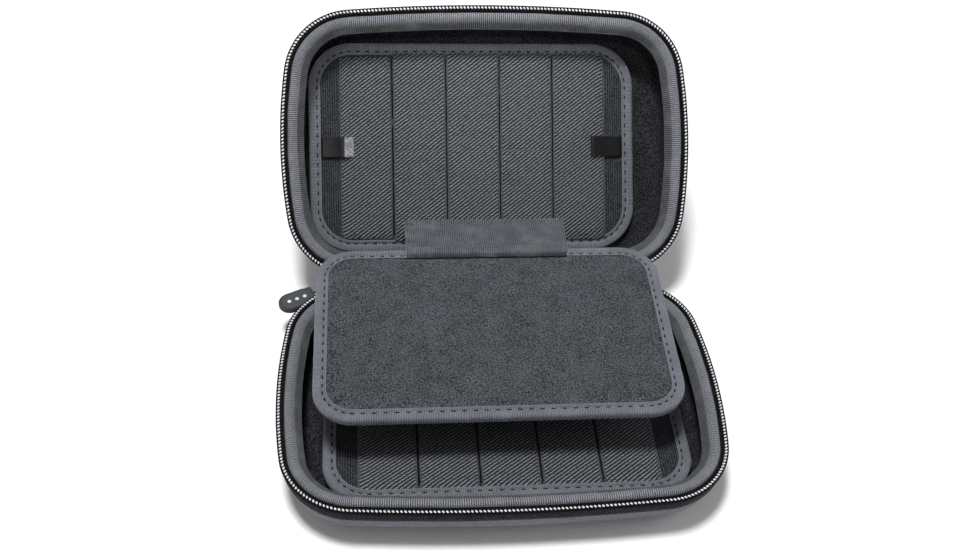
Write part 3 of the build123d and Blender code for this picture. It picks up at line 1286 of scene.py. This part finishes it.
RIM_STRIPS = (
    Strip(
        "rim_roll", ROLL_RIBBON, "binding",
        ((3.6, -6.9), (3.5, -3.4), (3.7, -1.8), (4.6, -0.65), (6.0, -0.45), (7.6, -1.2),
         (8.8, -2.7), (8.8, -6.9)),
        640, ease=0.22, stands_for="rim_binding",
    ),
    Strip(
        "rim_hem", HEM_RIBBON, "binding",
        ((7.8, -3.0), (8.4, -2.1), (9.4, -2.9), (10.5, -4.1), (11.35, -5.3), (11.4, -6.3),
         (9.6, -6.95), (8.0, -6.2)),
        560, ease=0.3,
    ),
    Strip(
        "rim_core", BOARD, "core",
        ((4.7, -6.7), (4.6, -3.4), (5.2, -1.9), (6.4, -1.6), (7.6, -2.3), (8.4, -3.6),
         (9.6, -4.7), (10.4, -6.0), (9.6, -6.8)),
        300, rounds=1, stands_for="rim_piping",
    ),
)
ZIP_STRIPS = (
    Strip(
        "zip_band", ZIP_CLOTH, "webbing",
        ((3.45, -1.9), (3.4, -3.2), (2.4, -3.5), (1.1, -3.35), (0.98, -4.4), (1.0, -6.2),
         (1.3, -8.7)),
        480, ease=0.08, stands_for="zip_tape", along_zip=True, thickness=0.4,
    ),
    # Partly the cord's own black and partly painted shade: the cord rises beside the roll so that
    # the roll's foot, which lies in shade, is dark.
    Strip(
        "tooth_cord", TOOTH_CORD_AND_SHADE, "zip_teeth",
        ((0.05, -3.1), (0.0, -1.5), (0.3, -1.15), (0.8, -1.45), (1.9, -1.5), (2.6, -1.2),
         (3.2, -1.0), (3.4, -3.1)),
        480, rounds=1, along_zip=True,
    ),
)


@dataclass(frozen=True)
class Cup:
    """A tray's wall and floor: upright, drafted, rounded and flat to the middle."""

    inset: float
    floor: float
    radius: float
    top: float
    draft: float
    ease: float = 0.0
    upright: float = 8.5
    floor_rings: Triple = (22.0, 28.0, 33.5)

    def section(self) -> list[Vector]:
        """Draws the cup's section.

        Returns:
            The section's points, by inset and height.
        """
        lean = math.radians(self.draft)
        low = -self.floor + self.radius
        centre = self.inset + (-low - self.upright) * math.tan(lean) + self.radius / math.cos(lean)
        line = [Vector((self.inset, -self.top)), Vector((self.inset, -self.upright))]
        steps = 12
        for index in range(steps + 1):
            angle = math.radians(180 + self.draft + (90 - self.draft) * index / steps)
            x = centre + self.radius * math.cos(angle)
            line.append(Vector((x, low + self.radius * math.sin(angle))))
        return line + [Vector((reach, -self.floor)) for reach in self.floor_rings]


@dataclass
class Tray(Edged):
    """One half of the case: shell, lining, padded rim, zip and the panel with its bands."""

    depth: float
    panel_shift: Pair
    panel_rise: float = 0.0
    size: Pair = (205.0, 134.4)
    side_bow: float = 9.0
    front_bow: float = 5.0
    corner: float = 34.0
    draft: float = 8.0
    wall: float = 3.2
    lining_gap: float = 0.65
    overlock: Seam = Seam(1.2, 0.3, 0.25, 1.15, Sewing.PROUD)
    overlock_place: Pair = (10.8, -4.75)
    overlock_lean: float = 78.0
    hem_cord: Cord = Cord(
        11.25, -5.35, 0.26, sway=0.18, pace=0.12, seed=(2.0, 5.0), columns=560
    )
    zip_end: float = 56.0
    tooth: Triple = (1.45, 0.9, 1.75)
    tooth_bevel: float = 0.42
    tooth_place: Pair = (1.25, -1.95)
    tooth_pitch: float = 1.76
    tooth_lean: float = -48.0
    panel_size: Pair = (168.0, 107.0)
    panel_corner: float = 22.0
    panel_thickness: float = 4.7
    panel_gap: float = 0.85
    band_pitch: float = 27.5
    band_length: float = 96.0
    band_level: float = 4.0
    # The gap values place dark strips that are painted shade in the deep gaps between the bands.
    gap_shade_size: Pair = (1.9, 0.3)
    gap_shade_level: float = 4.35
    gap_shade_clearance: float = 2.5
    tack: Seam = Seam(2.0, 0.8, 0.4, 2.7)
    tack_y: float = 1.9
    tacked_bands: tuple[int, ...] = ()

    @cached_property
    def outline(self) -> Outline:
        """The rim's outer edge."""
        return rim_outline(self.size, self.side_bow, self.front_bow, self.corner)

    def sweep(
        self, name: str, section: Sequence[Vector], columns: int, span: Pair, ease: float
    ) -> Piece:
        """Sweeps a section along the rim.

        Args:
            name: the piece's name.
            section: the inset and height of the section's points.
            columns: faces along the rim.
            span: where it starts and ends along the outline.
            ease: how uneven the cloth lies.

        Returns:
            The new piece.
        """
        start, end = span
        whole = self.outline.length

        def place(along: float, across: float) -> Vector:
            """Places the strip's point.

            Args:
                along: its share along the rim.
                across: its share across the section.

            Returns:
                The point in metres.
            """
            spot = along_line(section, across)
            distance = start + along * (end - start)
            lap = TAU * distance / whole
            sway = ease * noise.noise(Vector((math.sin(lap) * 9, math.cos(lap) * 9, spot.x * 0.2)))
            point = self.outline.at(distance, max(0.0, spot.x + sway))
            return self.at(point.x, point.y, spot.y + sway * 0.5)

        size = (end - start, line_length(section))
        return cloth_grid(name, columns, len(section) - 1, place, size)

    def close_floor(self, piece: Piece, floor: float) -> None:
        """Fills the hole in the middle of a cup's floor.

        Args:
            piece: the cup.
            floor: how deep its floor lies.
        """
        inverse = self.matrix.inverted()
        lone(piece)
        with editing():
            bpy.ops.mesh.select_all(action="DESELECT")
            work = bmesh.from_edit_mesh(piece.data)
            for edge in work.edges:
                low = all(abs((inverse @ v.co).z + floor * MM) < 2e-5 for v in edge.verts)
                edge.select_set(edge.is_boundary and low)
            bmesh.update_edit_mesh(piece.data)
            bpy.ops.mesh.edge_face_add()
            bpy.ops.mesh.select_all(action="SELECT")
            bpy.ops.mesh.normals_make_consistent(inside=False)

    def make_cup(self, tail: str, cup: Cup, thickness: float, offset: int) -> Piece:
        """Makes the moulded shell or the lining.

        Args:
            tail: the end of the piece's name.
            cup: its shape.
            thickness: how thick it is.
            offset: the side that the thickness goes to.

        Returns:
            The new piece.
        """
        span = (0.0, self.outline.length)
        piece = self.sweep(f"{self.name}_{tail}", cup.section(), 420, span, cup.ease)
        self.close_floor(piece, cup.floor)
        thicken(piece, thickness, offset)
        return piece

    def lay(self, strip: Strip) -> None:
        """Lays a strip along the rim and finishes it.

        Args:
            strip: the strip.
        """
        closed = not strip.thickness
        span = self.zip_span() if strip.along_zip else (0.0, self.outline.length)
        section = eased(strip.corners, strip.rounds, closed)
        piece = self.sweep(f"{self.name}_{strip.tail}", section, strip.columns, span, strip.ease)
        if not closed:
            thicken(piece, strip.thickness, 0)
        nodes = [f"{self.name}_{strip.stands_for}"] if strip.stands_for else []
        self.dress(piece, strip.finish, strip.slot, *nodes)

    def build_rim(self) -> None:
        """Builds the padded roll, the hem inside it and their sewing."""
        for strip in RIM_STRIPS:
            self.lay(strip)
        inset, level = self.overlock_place
        place = partial(self.spot, inset=inset, level=level, lean=self.overlock_lean)
        piece = self.overlock.row(f"{self.name}_rim_overlock", self.outline.length, place)
        self.dress(piece, HEM_THREAD, "binding")
        piece = self.lay_cord(f"{self.name}_hem_edge", self.hem_cord)
        self.dress(piece, HEM_THREAD, "binding")

    def zip_span(self) -> Pair:
        """Returns where the zip starts and ends along the rim."""
        return self.zip_end, self.outline.length - self.zip_end

    def build_zip(self) -> None:
        """Builds the woven tape, the black cord in it, which also lays painted shade at the roll's
        foot, and the row of teeth.
        """
        for strip in ZIP_STRIPS:
            self.lay(strip)
        start, end = self.zip_span()
        count = round((end - start) / self.tooth_pitch)
        spots = []
        for index in range(count):
            distance = start + (index + 0.5) * (end - start) / count
            point, way, up = self.spot(distance, *self.tooth_place, self.tooth_lean)
            spots.append(framed(point, way, up.cross(way), up))
        tooth = bar("tooth", self.tooth, self.tooth_bevel, 2)
        piece = copied(f"{self.name}_zip_teeth_row", tooth, spots)
        self.dress(piece, TEETH_AND_PAINTED_GLINTS, "zip_teeth", f"{self.name}_zip_coil")
        self.dressing.redress(f"{self.name}_zip_stops", ENAMEL)

    def panel(self) -> Panel:
        """Places the tray's panel, whose front may stand higher than its back.

        Returns:
            The panel.
        """
        seat = self.depth - self.wall - self.panel_gap
        length = self.panel_size[1]
        shift = Matrix.Translation(Vector((*self.panel_shift, -seat)) * MM)
        back = Matrix.Translation(Vector((0, length / 2 * MM, 0)))
        tilt = Matrix.Rotation(-math.asin(self.panel_rise / length), 4, "X")
        matrix = self.matrix @ shift @ back @ tilt @ back.inverted()
        return Panel(
            self.dressing, f"{self.name}_panel", self.body, matrix, size=self.panel_size,
            corner=self.panel_corner, thickness=self.panel_thickness, faces=(Face.TOP,),
        )

    def band_height(self, panel: Panel, x: float, y: float, tacked: bool) -> float:
        """Finds how high an elastic band's face lies.

        Args:
            panel: the panel under it.
            x: the place across the panel.
            y: the place along it.
            tacked: whether a seam draws the band down.

        Returns:
            The height over the panel's underside.
        """
        room = panel.reach(x) - abs(y)
        near = max(0.0, min(1.0, (room + 0.6) / 4.0))
        lift = near * near * (3 - 2 * near)
        puckers = 0.14 * math.sin(x * 1.9) * bell(room, 0.0, 5.0)
        sway = 0.1 * noise.noise(Vector((x * 0.08, y * 0.05, BAND_WIDTH)))
        dip = 0.7 * bell(y, self.tack_y, 1.1) if tacked else 0.0
        return self.band_level + 0.95 * lift + puckers + sway - dip

    def build_band(self, panel: Panel, index: int) -> None:
        """Builds one elastic band and, where it is tacked, the seam across it.

        Args:
            panel: the panel under it.
            index: its number, from 1 to 5 across the tray.
        """
        middle = (index - 3) * self.band_pitch
        tacked = index in self.tacked_bands

        def place(along: float, across: float) -> Vector:
            """Places the band's point.

            Args:
                along: its share of the band's width.
                across: its share of the band's length.

            Returns:
                The point in metres.
            """
            x = middle + (along - 0.5) * BAND_WIDTH
            y = (across * 2 - 1) * (panel.reach(x) + 0.6)
            rim = max(0.0, (abs(along - 0.5) * 2 - 0.93) / 0.07)
            return panel.at(x, y, self.band_height(panel, x, y, tacked) - 0.15 * rim * rim)

        name = f"{self.name}_elastic_{index}"
        piece = cloth_grid(name, 30, 96, place, (BAND_WIDTH, self.band_length))
        thicken(piece, 0.9, -1)
        self.dress(piece, ELASTIC, "elastic", f"{self.name}_elastic_band_{index}")
        if tacked:
            self.build_tack(panel, middle, index)

    def build_tack(self, panel: Panel, middle: float, index: int) -> None:
        """Sews the seam that holds a band down at half its height.

        Args:
            panel: the panel under the band.
            middle: the band's place across the panel.
            index: its number, from 1 to 5 across the tray.
        """
        turn = self.matrix.to_3x3()

        def stitch(distance: float) -> Spot:
            """Returns the place of the stitch at a distance across the band."""
            point = panel.at(middle - BAND_WIDTH / 2 + distance, self.tack_y, self.panel_thickness)
            return point, turn @ Vector((1, 0, 0)), turn @ Vector((0, 0, 1))

        piece = self.tack.row(f"{self.name}_tack_{index}", BAND_WIDTH, stitch)
        self.dress(piece, DARK_THREAD, "elastic")

    def build_gap_shade(self, panel: Panel) -> None:
        """Lays dark strips between the bands as painted shade in the deep gaps there.

        Args:
            panel: the panel under them.
        """
        width, height = self.gap_shade_size
        reach = self.panel_size[1] - 2 * (panel.binding + self.gap_shade_clearance)
        turn = panel.matrix.to_3x3().to_4x4()
        spots = []
        for index in range(4):
            point = panel.at((index - 1.5) * self.band_pitch, 0.0, self.gap_shade_level)
            spots.append(Matrix.Translation(point) @ turn)
        # Painted shade: dark bars where the gaps between the bands would lie in shade.
        tape = bar("strip", (width, reach, height), 0.1, 1)
        piece = copied(f"{self.name}_band_gaps", tape, spots)
        self.dress(piece, DARK_THREAD, "elastic")

    def build(self) -> None:
        """Builds the whole tray."""
        shell = Cup(1.9, self.depth, radius=16.0, top=7.05, draft=self.draft + 2)
        floor = self.depth - self.wall - self.lining_gap
        lining = Cup(5.75, floor, radius=7.2, top=6.9, draft=self.draft, ease=0.15)
        piece = self.make_cup("moulded_shell", shell, 0.9, -1)
        self.dress(piece, SHELL_CLOTH, "shell", f"{self.name}_shell")
        piece = self.make_cup("velour", lining, 0.5, 1)
        self.dress(piece, VELOUR, "lining", f"{self.name}_lining")
        self.dressing.redress(f"{self.name}_panel_board", BOARD)
        self.build_rim()
        self.build_zip()
        panel = self.panel()
        name, node = f"{self.name}_felt_face", f"{self.name}_panel_felt"
        felt = Felt(name, node, PANEL_FELT, level=3.95, face=Face.TOP, crown=0.05)
        panel.build(f"{self.name}_panel_binding", [felt])
        for index in range(1, 6):
            self.build_band(panel, index)
        self.build_gap_shade(panel)


@dataclass
class Case:
    """The whole case: two trays, their fabric hinge, the flap on its tape, and the zip's slider."""

    dressing: Dressing
    base_depth: float = 27.0
    base_panel_shift: Pair = (2.2, 1.8)
    base_panel_rise: float = 5.0
    lid_depth: float = 31.0
    lid_panel_shift: Pair = (5.5, 1.8)
    lid_tacked_bands: tuple[int, ...] = (2, 4)
    half_length: float = 67.2
    hinge_offset: float = 1.6
    hinge_width: float = 100.0
    lid_angle: float = 134.7
    pivot_from_hinge: float = 14.6
    pivot_above_rim: float = 3.1
    flap_size: Pair = (167.0, 104.0)
    flap_corner: float = 18.3
    flap_thickness: float = 4.6
    flap_shift: float = -1.8
    flap_gap: float = 1.6
    tape_width: float = 83.0
    tape_narrowing: float = 0.052
    tape_drift: float = 0.026
    tape_ridges: tuple[Triple, ...] = ((0.6, 0.37, 0.022), (0.4, 0.73, 0.018))
    tape_seam: Seam = Seam(1.9, 0.4, 0.3, 2.9, Sewing.PROUD)
    ribbon_width: float = 10.2
    ribbon_curls: tuple[tuple[Tab, tuple[Pair, ...]], ...] = (
        (Tab.LEFT, ((0.0, 0.0), (4.0, 0.25), (8.5, 0.9), (10.8, 1.5), (13.4, 1.2), (15.8, 0.2),
                    (16.4, -0.15))),
        (Tab.RIGHT, ((0.0, 0.0), (5.0, 0.4), (10.5, 1.3), (14.8, 2.1), (16.2, 1.9), (16.5, 0.9),
                     (16.1, 0.5))),
    )
    lip_run: float = 52.0
    lip_inset: float = 0.75
    lip_radius: float = 0.42
    lip_height: float = 0.2
    dot_shares: Triple = (0.28, 0.5, 0.72)

    def __post_init__(self) -> None:
        """Works out the lid's directions and the flap's fold."""
        turn = math.radians(self.lid_angle)
        self.hinge = Vector((0, self.half_length + self.hinge_offset, self.base_depth))
        self.up_lid = Vector((0, -math.cos(turn), math.sin(turn)))
        self.out_lid = Vector((0, -math.sin(turn), -math.cos(turn)))
        self.fold = self.lid_point(self.pivot_from_hinge, self.pivot_above_rim)

    def lid_point(self, up: float, out: float) -> Vector:
        """Returns a point in the middle, by its height up the lid and out of its rim plane."""
        return self.hinge + self.up_lid * up + self.out_lid * out

    def build_trays(self) -> None:
        """Builds the base and the lid, whose y runs towards the hinge."""
        frame = Matrix.Translation(Vector((0, 0, self.base_depth)) * MM)
        Tray(
            self.dressing, "base", "base", frame, self.base_depth,
            panel_shift=self.base_panel_shift, panel_rise=self.base_panel_rise,
        ).build()
        middle = (self.hinge + self.up_lid * self.hinge.y) * MM
        frame = framed(middle, Vector((-1, 0, 0)), -self.up_lid, self.out_lid)
        Tray(
            self.dressing, "lid", "lid", frame, self.lid_depth,
            panel_shift=self.lid_panel_shift, tacked_bands=self.lid_tacked_bands,
        ).build()

    def build_hinge(self) -> None:
        """Builds the fabric hinge as one cloth, curved between base and lid."""
        wall = self.half_length - 1.45
        side = [
            (wall, -12.0), (wall, -8.0), (wall + 0.1, -3.4), (wall + 1.6, -1.3),
            (self.hinge.y - 0.5, -0.25),
        ]
        base = [Vector((y, self.base_depth + z)) for y, z in side]
        lid = [self.lid_point(self.hinge.y - y, z).yz for y, z in reversed(side)]
        line = eased([*base, self.hinge.yz, *lid], 2, False)

        def place(along: float, across: float) -> Vector:
            """Places the cloth's point.

            Args:
                along: its share of the hinge's width.
                across: its share from base to lid.

            Returns:
                The point in metres.
            """
            spot = along_line(line, across)
            ruck = 0.12 * noise.noise(Vector((along * 12, across * 3, 1)))
            return Vector(((along - 0.5) * self.hinge_width, spot.x + ruck, spot.y)) * MM

        size = (self.hinge_width, line_length(line))
        piece = cloth_grid("hinge_cloth", 100, len(line) * 2, place, size)
        thicken(piece, 0.7, 0)
        nodes = ("hinge_leaf_base", "hinge_leaf_lid", "hinge_fold")
        self.dressing.dress(piece, HANGING_RIBBON, "", "webbing", *nodes)
        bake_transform(piece)

    def tape_line(self) -> list[Vector]:
        """Draws the hanging tape's line, from its sewn end on the lid over the fold to the flap.

        Returns:
            The line's points, by y and z.
        """
        seat = self.lid_depth - 9.35
        rise = [
            (29.8, -seat + 0.3), (27.8, -seat + 0.4), (26.3, -seat + 1.1), (24.9, -seat + 4.4),
            (20.6, -11.0), (16.9, -4.6), (15.2, -1.9), (14.75, 0.8), (14.5, 3.0),
        ]
        top = self.flap_thickness / 2
        lap = [(-0.75, 0.25), (-1.9, 0.95), (-4.0, 1.1), (-5.6, 1.5), (-7.4, 1.1), (-8.3, 0.35)]
        up = [self.lid_point(*place).yz for place in rise]
        over = [Vector((self.fold.y + y, self.fold.z + (top + z))) for y, z in lap]
        return eased(up + over, 2, False)

    def build_tape(self) -> None:
        """Builds the ribbed tape that the flap hangs on, as one cloth from lid to flap."""
        line = self.tape_line()
        width = self.tape_width

        def place(along: float, across: float) -> Vector:
            """Places the tape's point.

            Args:
                along: its share of the tape's width.
                across: its share from lid to flap.

            Returns:
                The point in metres.
            """
            spot = along_line(line, across)
            loose = math.sin(min(1.0, across / 0.75) * math.pi)
            ruck = 0.25 * loose * noise.noise(Vector((along * 5, across * 3, 4)))
            ridge = sum(high * bell(across, at, wide) for high, at, wide in self.tape_ridges)
            drawn = 1 - self.tape_narrowing * across
            x = (along - 0.5) * width * drawn - self.tape_drift * width * across
            y = spot.x - 0.7 * ridge + ruck * 0.7
            return Vector((x, y, spot.y + 0.7 * ridge + ruck * 0.5)) * MM

        piece = cloth_grid("hanging_tape", 170, 96, place, (width, line_length(line)))
        thicken(piece, 0.65, 0)
        nodes = ("hinge_tape_upper", "hinge_tape_fold", "hinge_tape_lower")
        self.dressing.dress(piece, HANGING_RIBBON, "", "ribbed_tape", *nodes)
        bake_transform(piece)

        sewn = along_line(line, 0.05)

        def stitch(distance: float) -> Spot:
            """Returns the place of the stitch at a distance along the tape's upper seam."""
            point = Vector((distance - width / 2, *sewn)) * MM
            return point, Vector((1, 0, 0)), self.out_lid.copy()

        piece = self.tape_seam.row("hanging_tape_seam", width - 2.0, stitch)
        self.dressing.dress(piece, PALE_THREAD, "lid", "ribbed_tape")

    def build_flap(self) -> None:
        """Builds the divider flap."""
        thickness = self.flap_thickness
        back = -self.flap_gap - self.flap_size[1] / 2
        place = self.fold + Vector((self.flap_shift, back, -thickness / 2))
        flap = Panel(
            self.dressing, "flap", "flap", Matrix.Translation(place * MM), size=self.flap_size,
            corner=self.flap_corner, thickness=thickness, faces=(Face.TOP, Face.UNDER),
        )
        felts = [
            Felt("flap_face", "flap_felt_top", FLAP_FELT, thickness - 0.6, Face.TOP, 0.35),
            Felt("flap_back", "flap_felt_bottom", FLAP_FELT, 0.6, Face.UNDER, 0.35),
        ]
        flap.build("flap_binding", felts)
        self.dressing.redress("flap_board", BOARD)

    def build_ribbon(self, tab: Tab, corners: Sequence[Pair]) -> None:
        """Builds one satin tab on the lid panel.

        Args:
            tab: the tab.
            corners: its curl, by reach and lift.
        """
        side, word = tab.value, tab.name.lower()
        node, body = f"ribbon_tab_{word}", f"ribbon_{word}"
        low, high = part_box(node)
        root_x = low[0] if tab is Tab.LEFT else high[0]
        centre = (Vector(low) + Vector(high)) / 2
        curl = eased(corners, 3, False)

        def place(along: float, across: float) -> Vector:
            """Places the ribbon's point.

            Args:
                along: its share of the ribbon's length.
                across: its share of the ribbon's width.

            Returns:
                The point in metres.
            """
            spot = along_line(curl, along)
            edge = 2 * across - 1
            cup = 0.25 * edge * edge * (1 - along)
            crease = 0.09 * math.sin(along * 46 + edge) * max(0.0, along - 0.35)
            point = Vector((root_x, centre.y, centre.z))
            height = edge * self.ribbon_width / 2 + 0.3 * along
            point += (self.out_lid * (spot.y + cup + crease) + self.up_lid * height) * MM
            point.x -= side * spot.x * MM
            return point

        size = (line_length(curl), self.ribbon_width)
        piece = cloth_grid(f"{body}_satin", 64, 16, place, size)
        thicken(piece, 0.3, 0)
        self.dressing.dress(piece, SATINS[tab], body, "ribbon", node)

    def build_puller(self) -> None:
        """Finishes the slider's metal and the rubber tab, with a moulded lip and plain dots."""
        for node in ("slider_body", "slider_bridge", "pull_link"):
            self.dressing.redress(node, ENAMEL)
        self.dressing.redress("pull_tab", RUBBER)
        body = self.dressing.body_of("pull_tab")
        points = [v.co.copy() for v in self.dressing.frame["nodes"]["pull_tab"].data.vertices]
        middle = sum(points, Vector()) / len(points)
        far = max((point - middle for point in points), key=lambda point: point.xy.length)
        way = Vector((far.x, far.y, 0)).normalized()
        side = Vector((-way.y, way.x, 0))
        reach = [(point - middle).dot(way) for point in points]
        half = max(abs((point - middle).dot(side)) for point in points)
        tip, root, top = max(reach), min(reach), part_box("pull_tab")[1][2]
        inner = half - self.lip_inset * MM

        def lip(along: float, across: float) -> Vector:
            """Places the lip's point, on a stadium round the tab's face.

            Args:
                along: its share round the tab's face.
                across: its share round the lip's section.

            Returns:
                The point in metres.
            """
            angle, swell = TAU * along, TAU * across
            out = self.lip_radius * MM * math.cos(swell)
            end = math.copysign((tip - root) / 2 - half, math.cos(angle))
            x = (tip + root) / 2 + end + inner * math.cos(angle)
            point = middle + way * (x + out * math.cos(angle))
            point += side * (inner + out) * math.sin(angle)
            point.z = top + self.lip_height * MM * math.sin(swell)
            return point

        piece = cloth_grid("puller_lip", 96, 8, lip, (self.lip_run, TAU * self.lip_radius))
        self.dressing.dress(piece, RUBBER_RIM, body, "puller_rubber")
        for index, share in enumerate(self.dot_shares):
            spot = middle + way * (root + (tip - root) * share)
            dot = primitive(
                f"puller_dot_{index + 1}", bpy.ops.mesh.primitive_cylinder_add, vertices=28,
                radius=0.95 * MM, depth=0.5 * MM, location=(spot.x, spot.y, top),
            )
            with editing():
                bpy.ops.mesh.bevel(offset=0.14 * MM, segments=2, affect="EDGES")
            bpy.ops.object.transform_apply(location=True, rotation=True, scale=True)
            bpy.ops.object.shade_smooth_by_angle(angle=math.radians(40))
            self.dressing.dress(dot, PALE_INLAY, body, "puller_rubber")

    def build(self) -> None:
        """Builds every part of the case in order."""
        self.build_trays()
        self.build_hinge()
        self.build_tape()
        self.build_flap()
        for tab, corners in self.ribbon_curls:
            self.build_ribbon(tab, corners)
        self.build_puller()


@dataclass(frozen=True)
class Lamp:
    """A square soft lamp; lengths are metres, its power watts and its spread degrees."""

    name: str
    place: Triple
    size: float
    power: float
    aim: Triple = (0.0, 0.05, 0.03)
    spread: float = 180.0

    def hang(self) -> None:
        """Hangs the lamp."""
        data = bpy.data.lights.new(self.name, "AREA")
        data.energy, data.size, data.spread = self.power, self.size, math.radians(self.spread)
        lamp = bpy.data.objects.new(self.name, data)
        bpy.context.collection.objects.link(lamp)
        way = Vector(self.aim) - Vector(self.place)
        turn = way.to_track_quat("-Z", "Y").to_matrix().to_4x4()
        lamp.matrix_world = Matrix.Translation(Vector(self.place)) @ turn


@dataclass
class Studio:
    """The floor, the lamps and the camera, in metres."""

    place: Triple = (-0.057168, -0.342285, 0.459721)
    yaw: float = 0.137231439
    pitch: float = 0.803843447
    roll: float = 0.083734415
    lens: float = 44.132
    sky: float = 0.2
    floor_glow: float = 0.02
    glow_reach: Pair = (0.3, 0.75)
    floor_tone: Colour = (0.88, 0.88, 0.88)
    lamps: tuple[Lamp, ...] = (
        Lamp("key", (1.25, -0.05, 1.0), 0.8, 3.6),
        Lamp("fill", (-1.0, -0.6, 1.15), 1.3, 1.2),
        Lamp("top", (-0.2, -0.05, 1.5), 0.26, 23.0),
        Lamp("lid_fill", (0.0, -0.75, 1.0), 0.12, 0.05, (0.0, 0.16, 0.115), 14.0),
    )

    def build_camera(self) -> None:
        """Sets the camera where the photograph was taken from."""
        ahead = math.cos(self.pitch)
        forward = Vector(
            (math.sin(self.yaw) * ahead, math.cos(self.yaw) * ahead, -math.sin(self.pitch))
        )
        right = Vector((math.cos(self.yaw), -math.sin(self.yaw), 0))
        up = right.cross(forward)
        turned = right * math.cos(self.roll) + up * math.sin(self.roll)
        raised = -right * math.sin(self.roll) + up * math.cos(self.roll)
        data = bpy.data.cameras.new("camera")
        data.lens, data.sensor_width, data.clip_start = self.lens, 36.0, 0.01
        camera = bpy.data.objects.new("camera", data)
        bpy.context.collection.objects.link(camera)
        camera.matrix_world = framed(Vector(self.place), turned, raised, -forward)
        bpy.context.scene.camera = camera

    def build_floor(self) -> None:
        """Lays a pale floor, which glows white away from the case."""
        plane = bpy.ops.mesh.primitive_plane_add
        floor = primitive("floor", plane, size=6, location=(0, 0, -0.0004))
        graph = Graph("floor", 0.9, 0.1)
        entries = graph.shader.inputs
        entries["Base Color"].default_value = (*self.floor_tone, 1)
        entries["Emission Color"].default_value = (1, 1, 1, 1)
        values = {0: graph.place()}
        away = graph.node("ShaderNodeVectorMath", values, operation="LENGTH").outputs["Value"]
        rise = graph.ramp(away, *self.glow_reach)
        level = graph.math("MULTIPLY_ADD", rise, 1 - self.floor_glow, self.floor_glow)
        graph.fill(entries["Emission Strength"], graph.math("MULTIPLY", graph.seen(), level))
        floor.data.materials.append(graph.material)

    def build_sky(self) -> None:
        """Sets the world's light, which is dimmer on the case than to the view."""
        world = bpy.data.worlds.new("studio")
        bpy.context.scene.world = world
        world.use_nodes = True
        nodes = Nodes(world.node_tree)
        values = {"Value": nodes.seen(), "To Min": self.sky, "To Max": 1.0}
        level = nodes.node("ShaderNodeMapRange", values)
        background = nodes.tree.nodes["Background"].inputs
        background["Color"].default_value = (1, 1, 1, 1)
        nodes.fill(background["Strength"], level.outputs[0])

    def build(self) -> None:
        """Builds the studio."""
        bpy.context.scene.view_settings.view_transform = "Standard"
        self.build_camera()
        self.build_floor()
        for lamp in self.lamps:
            lamp.hang()
        self.build_sky()


def main() -> None:
    """Builds the studio and the case."""
    logging.basicConfig(level=logging.INFO, format="%(name)s %(message)s")
    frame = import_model()
    Studio().build()
    Case(Dressing(frame)).build()


if __name__ == "__main__":
    main()
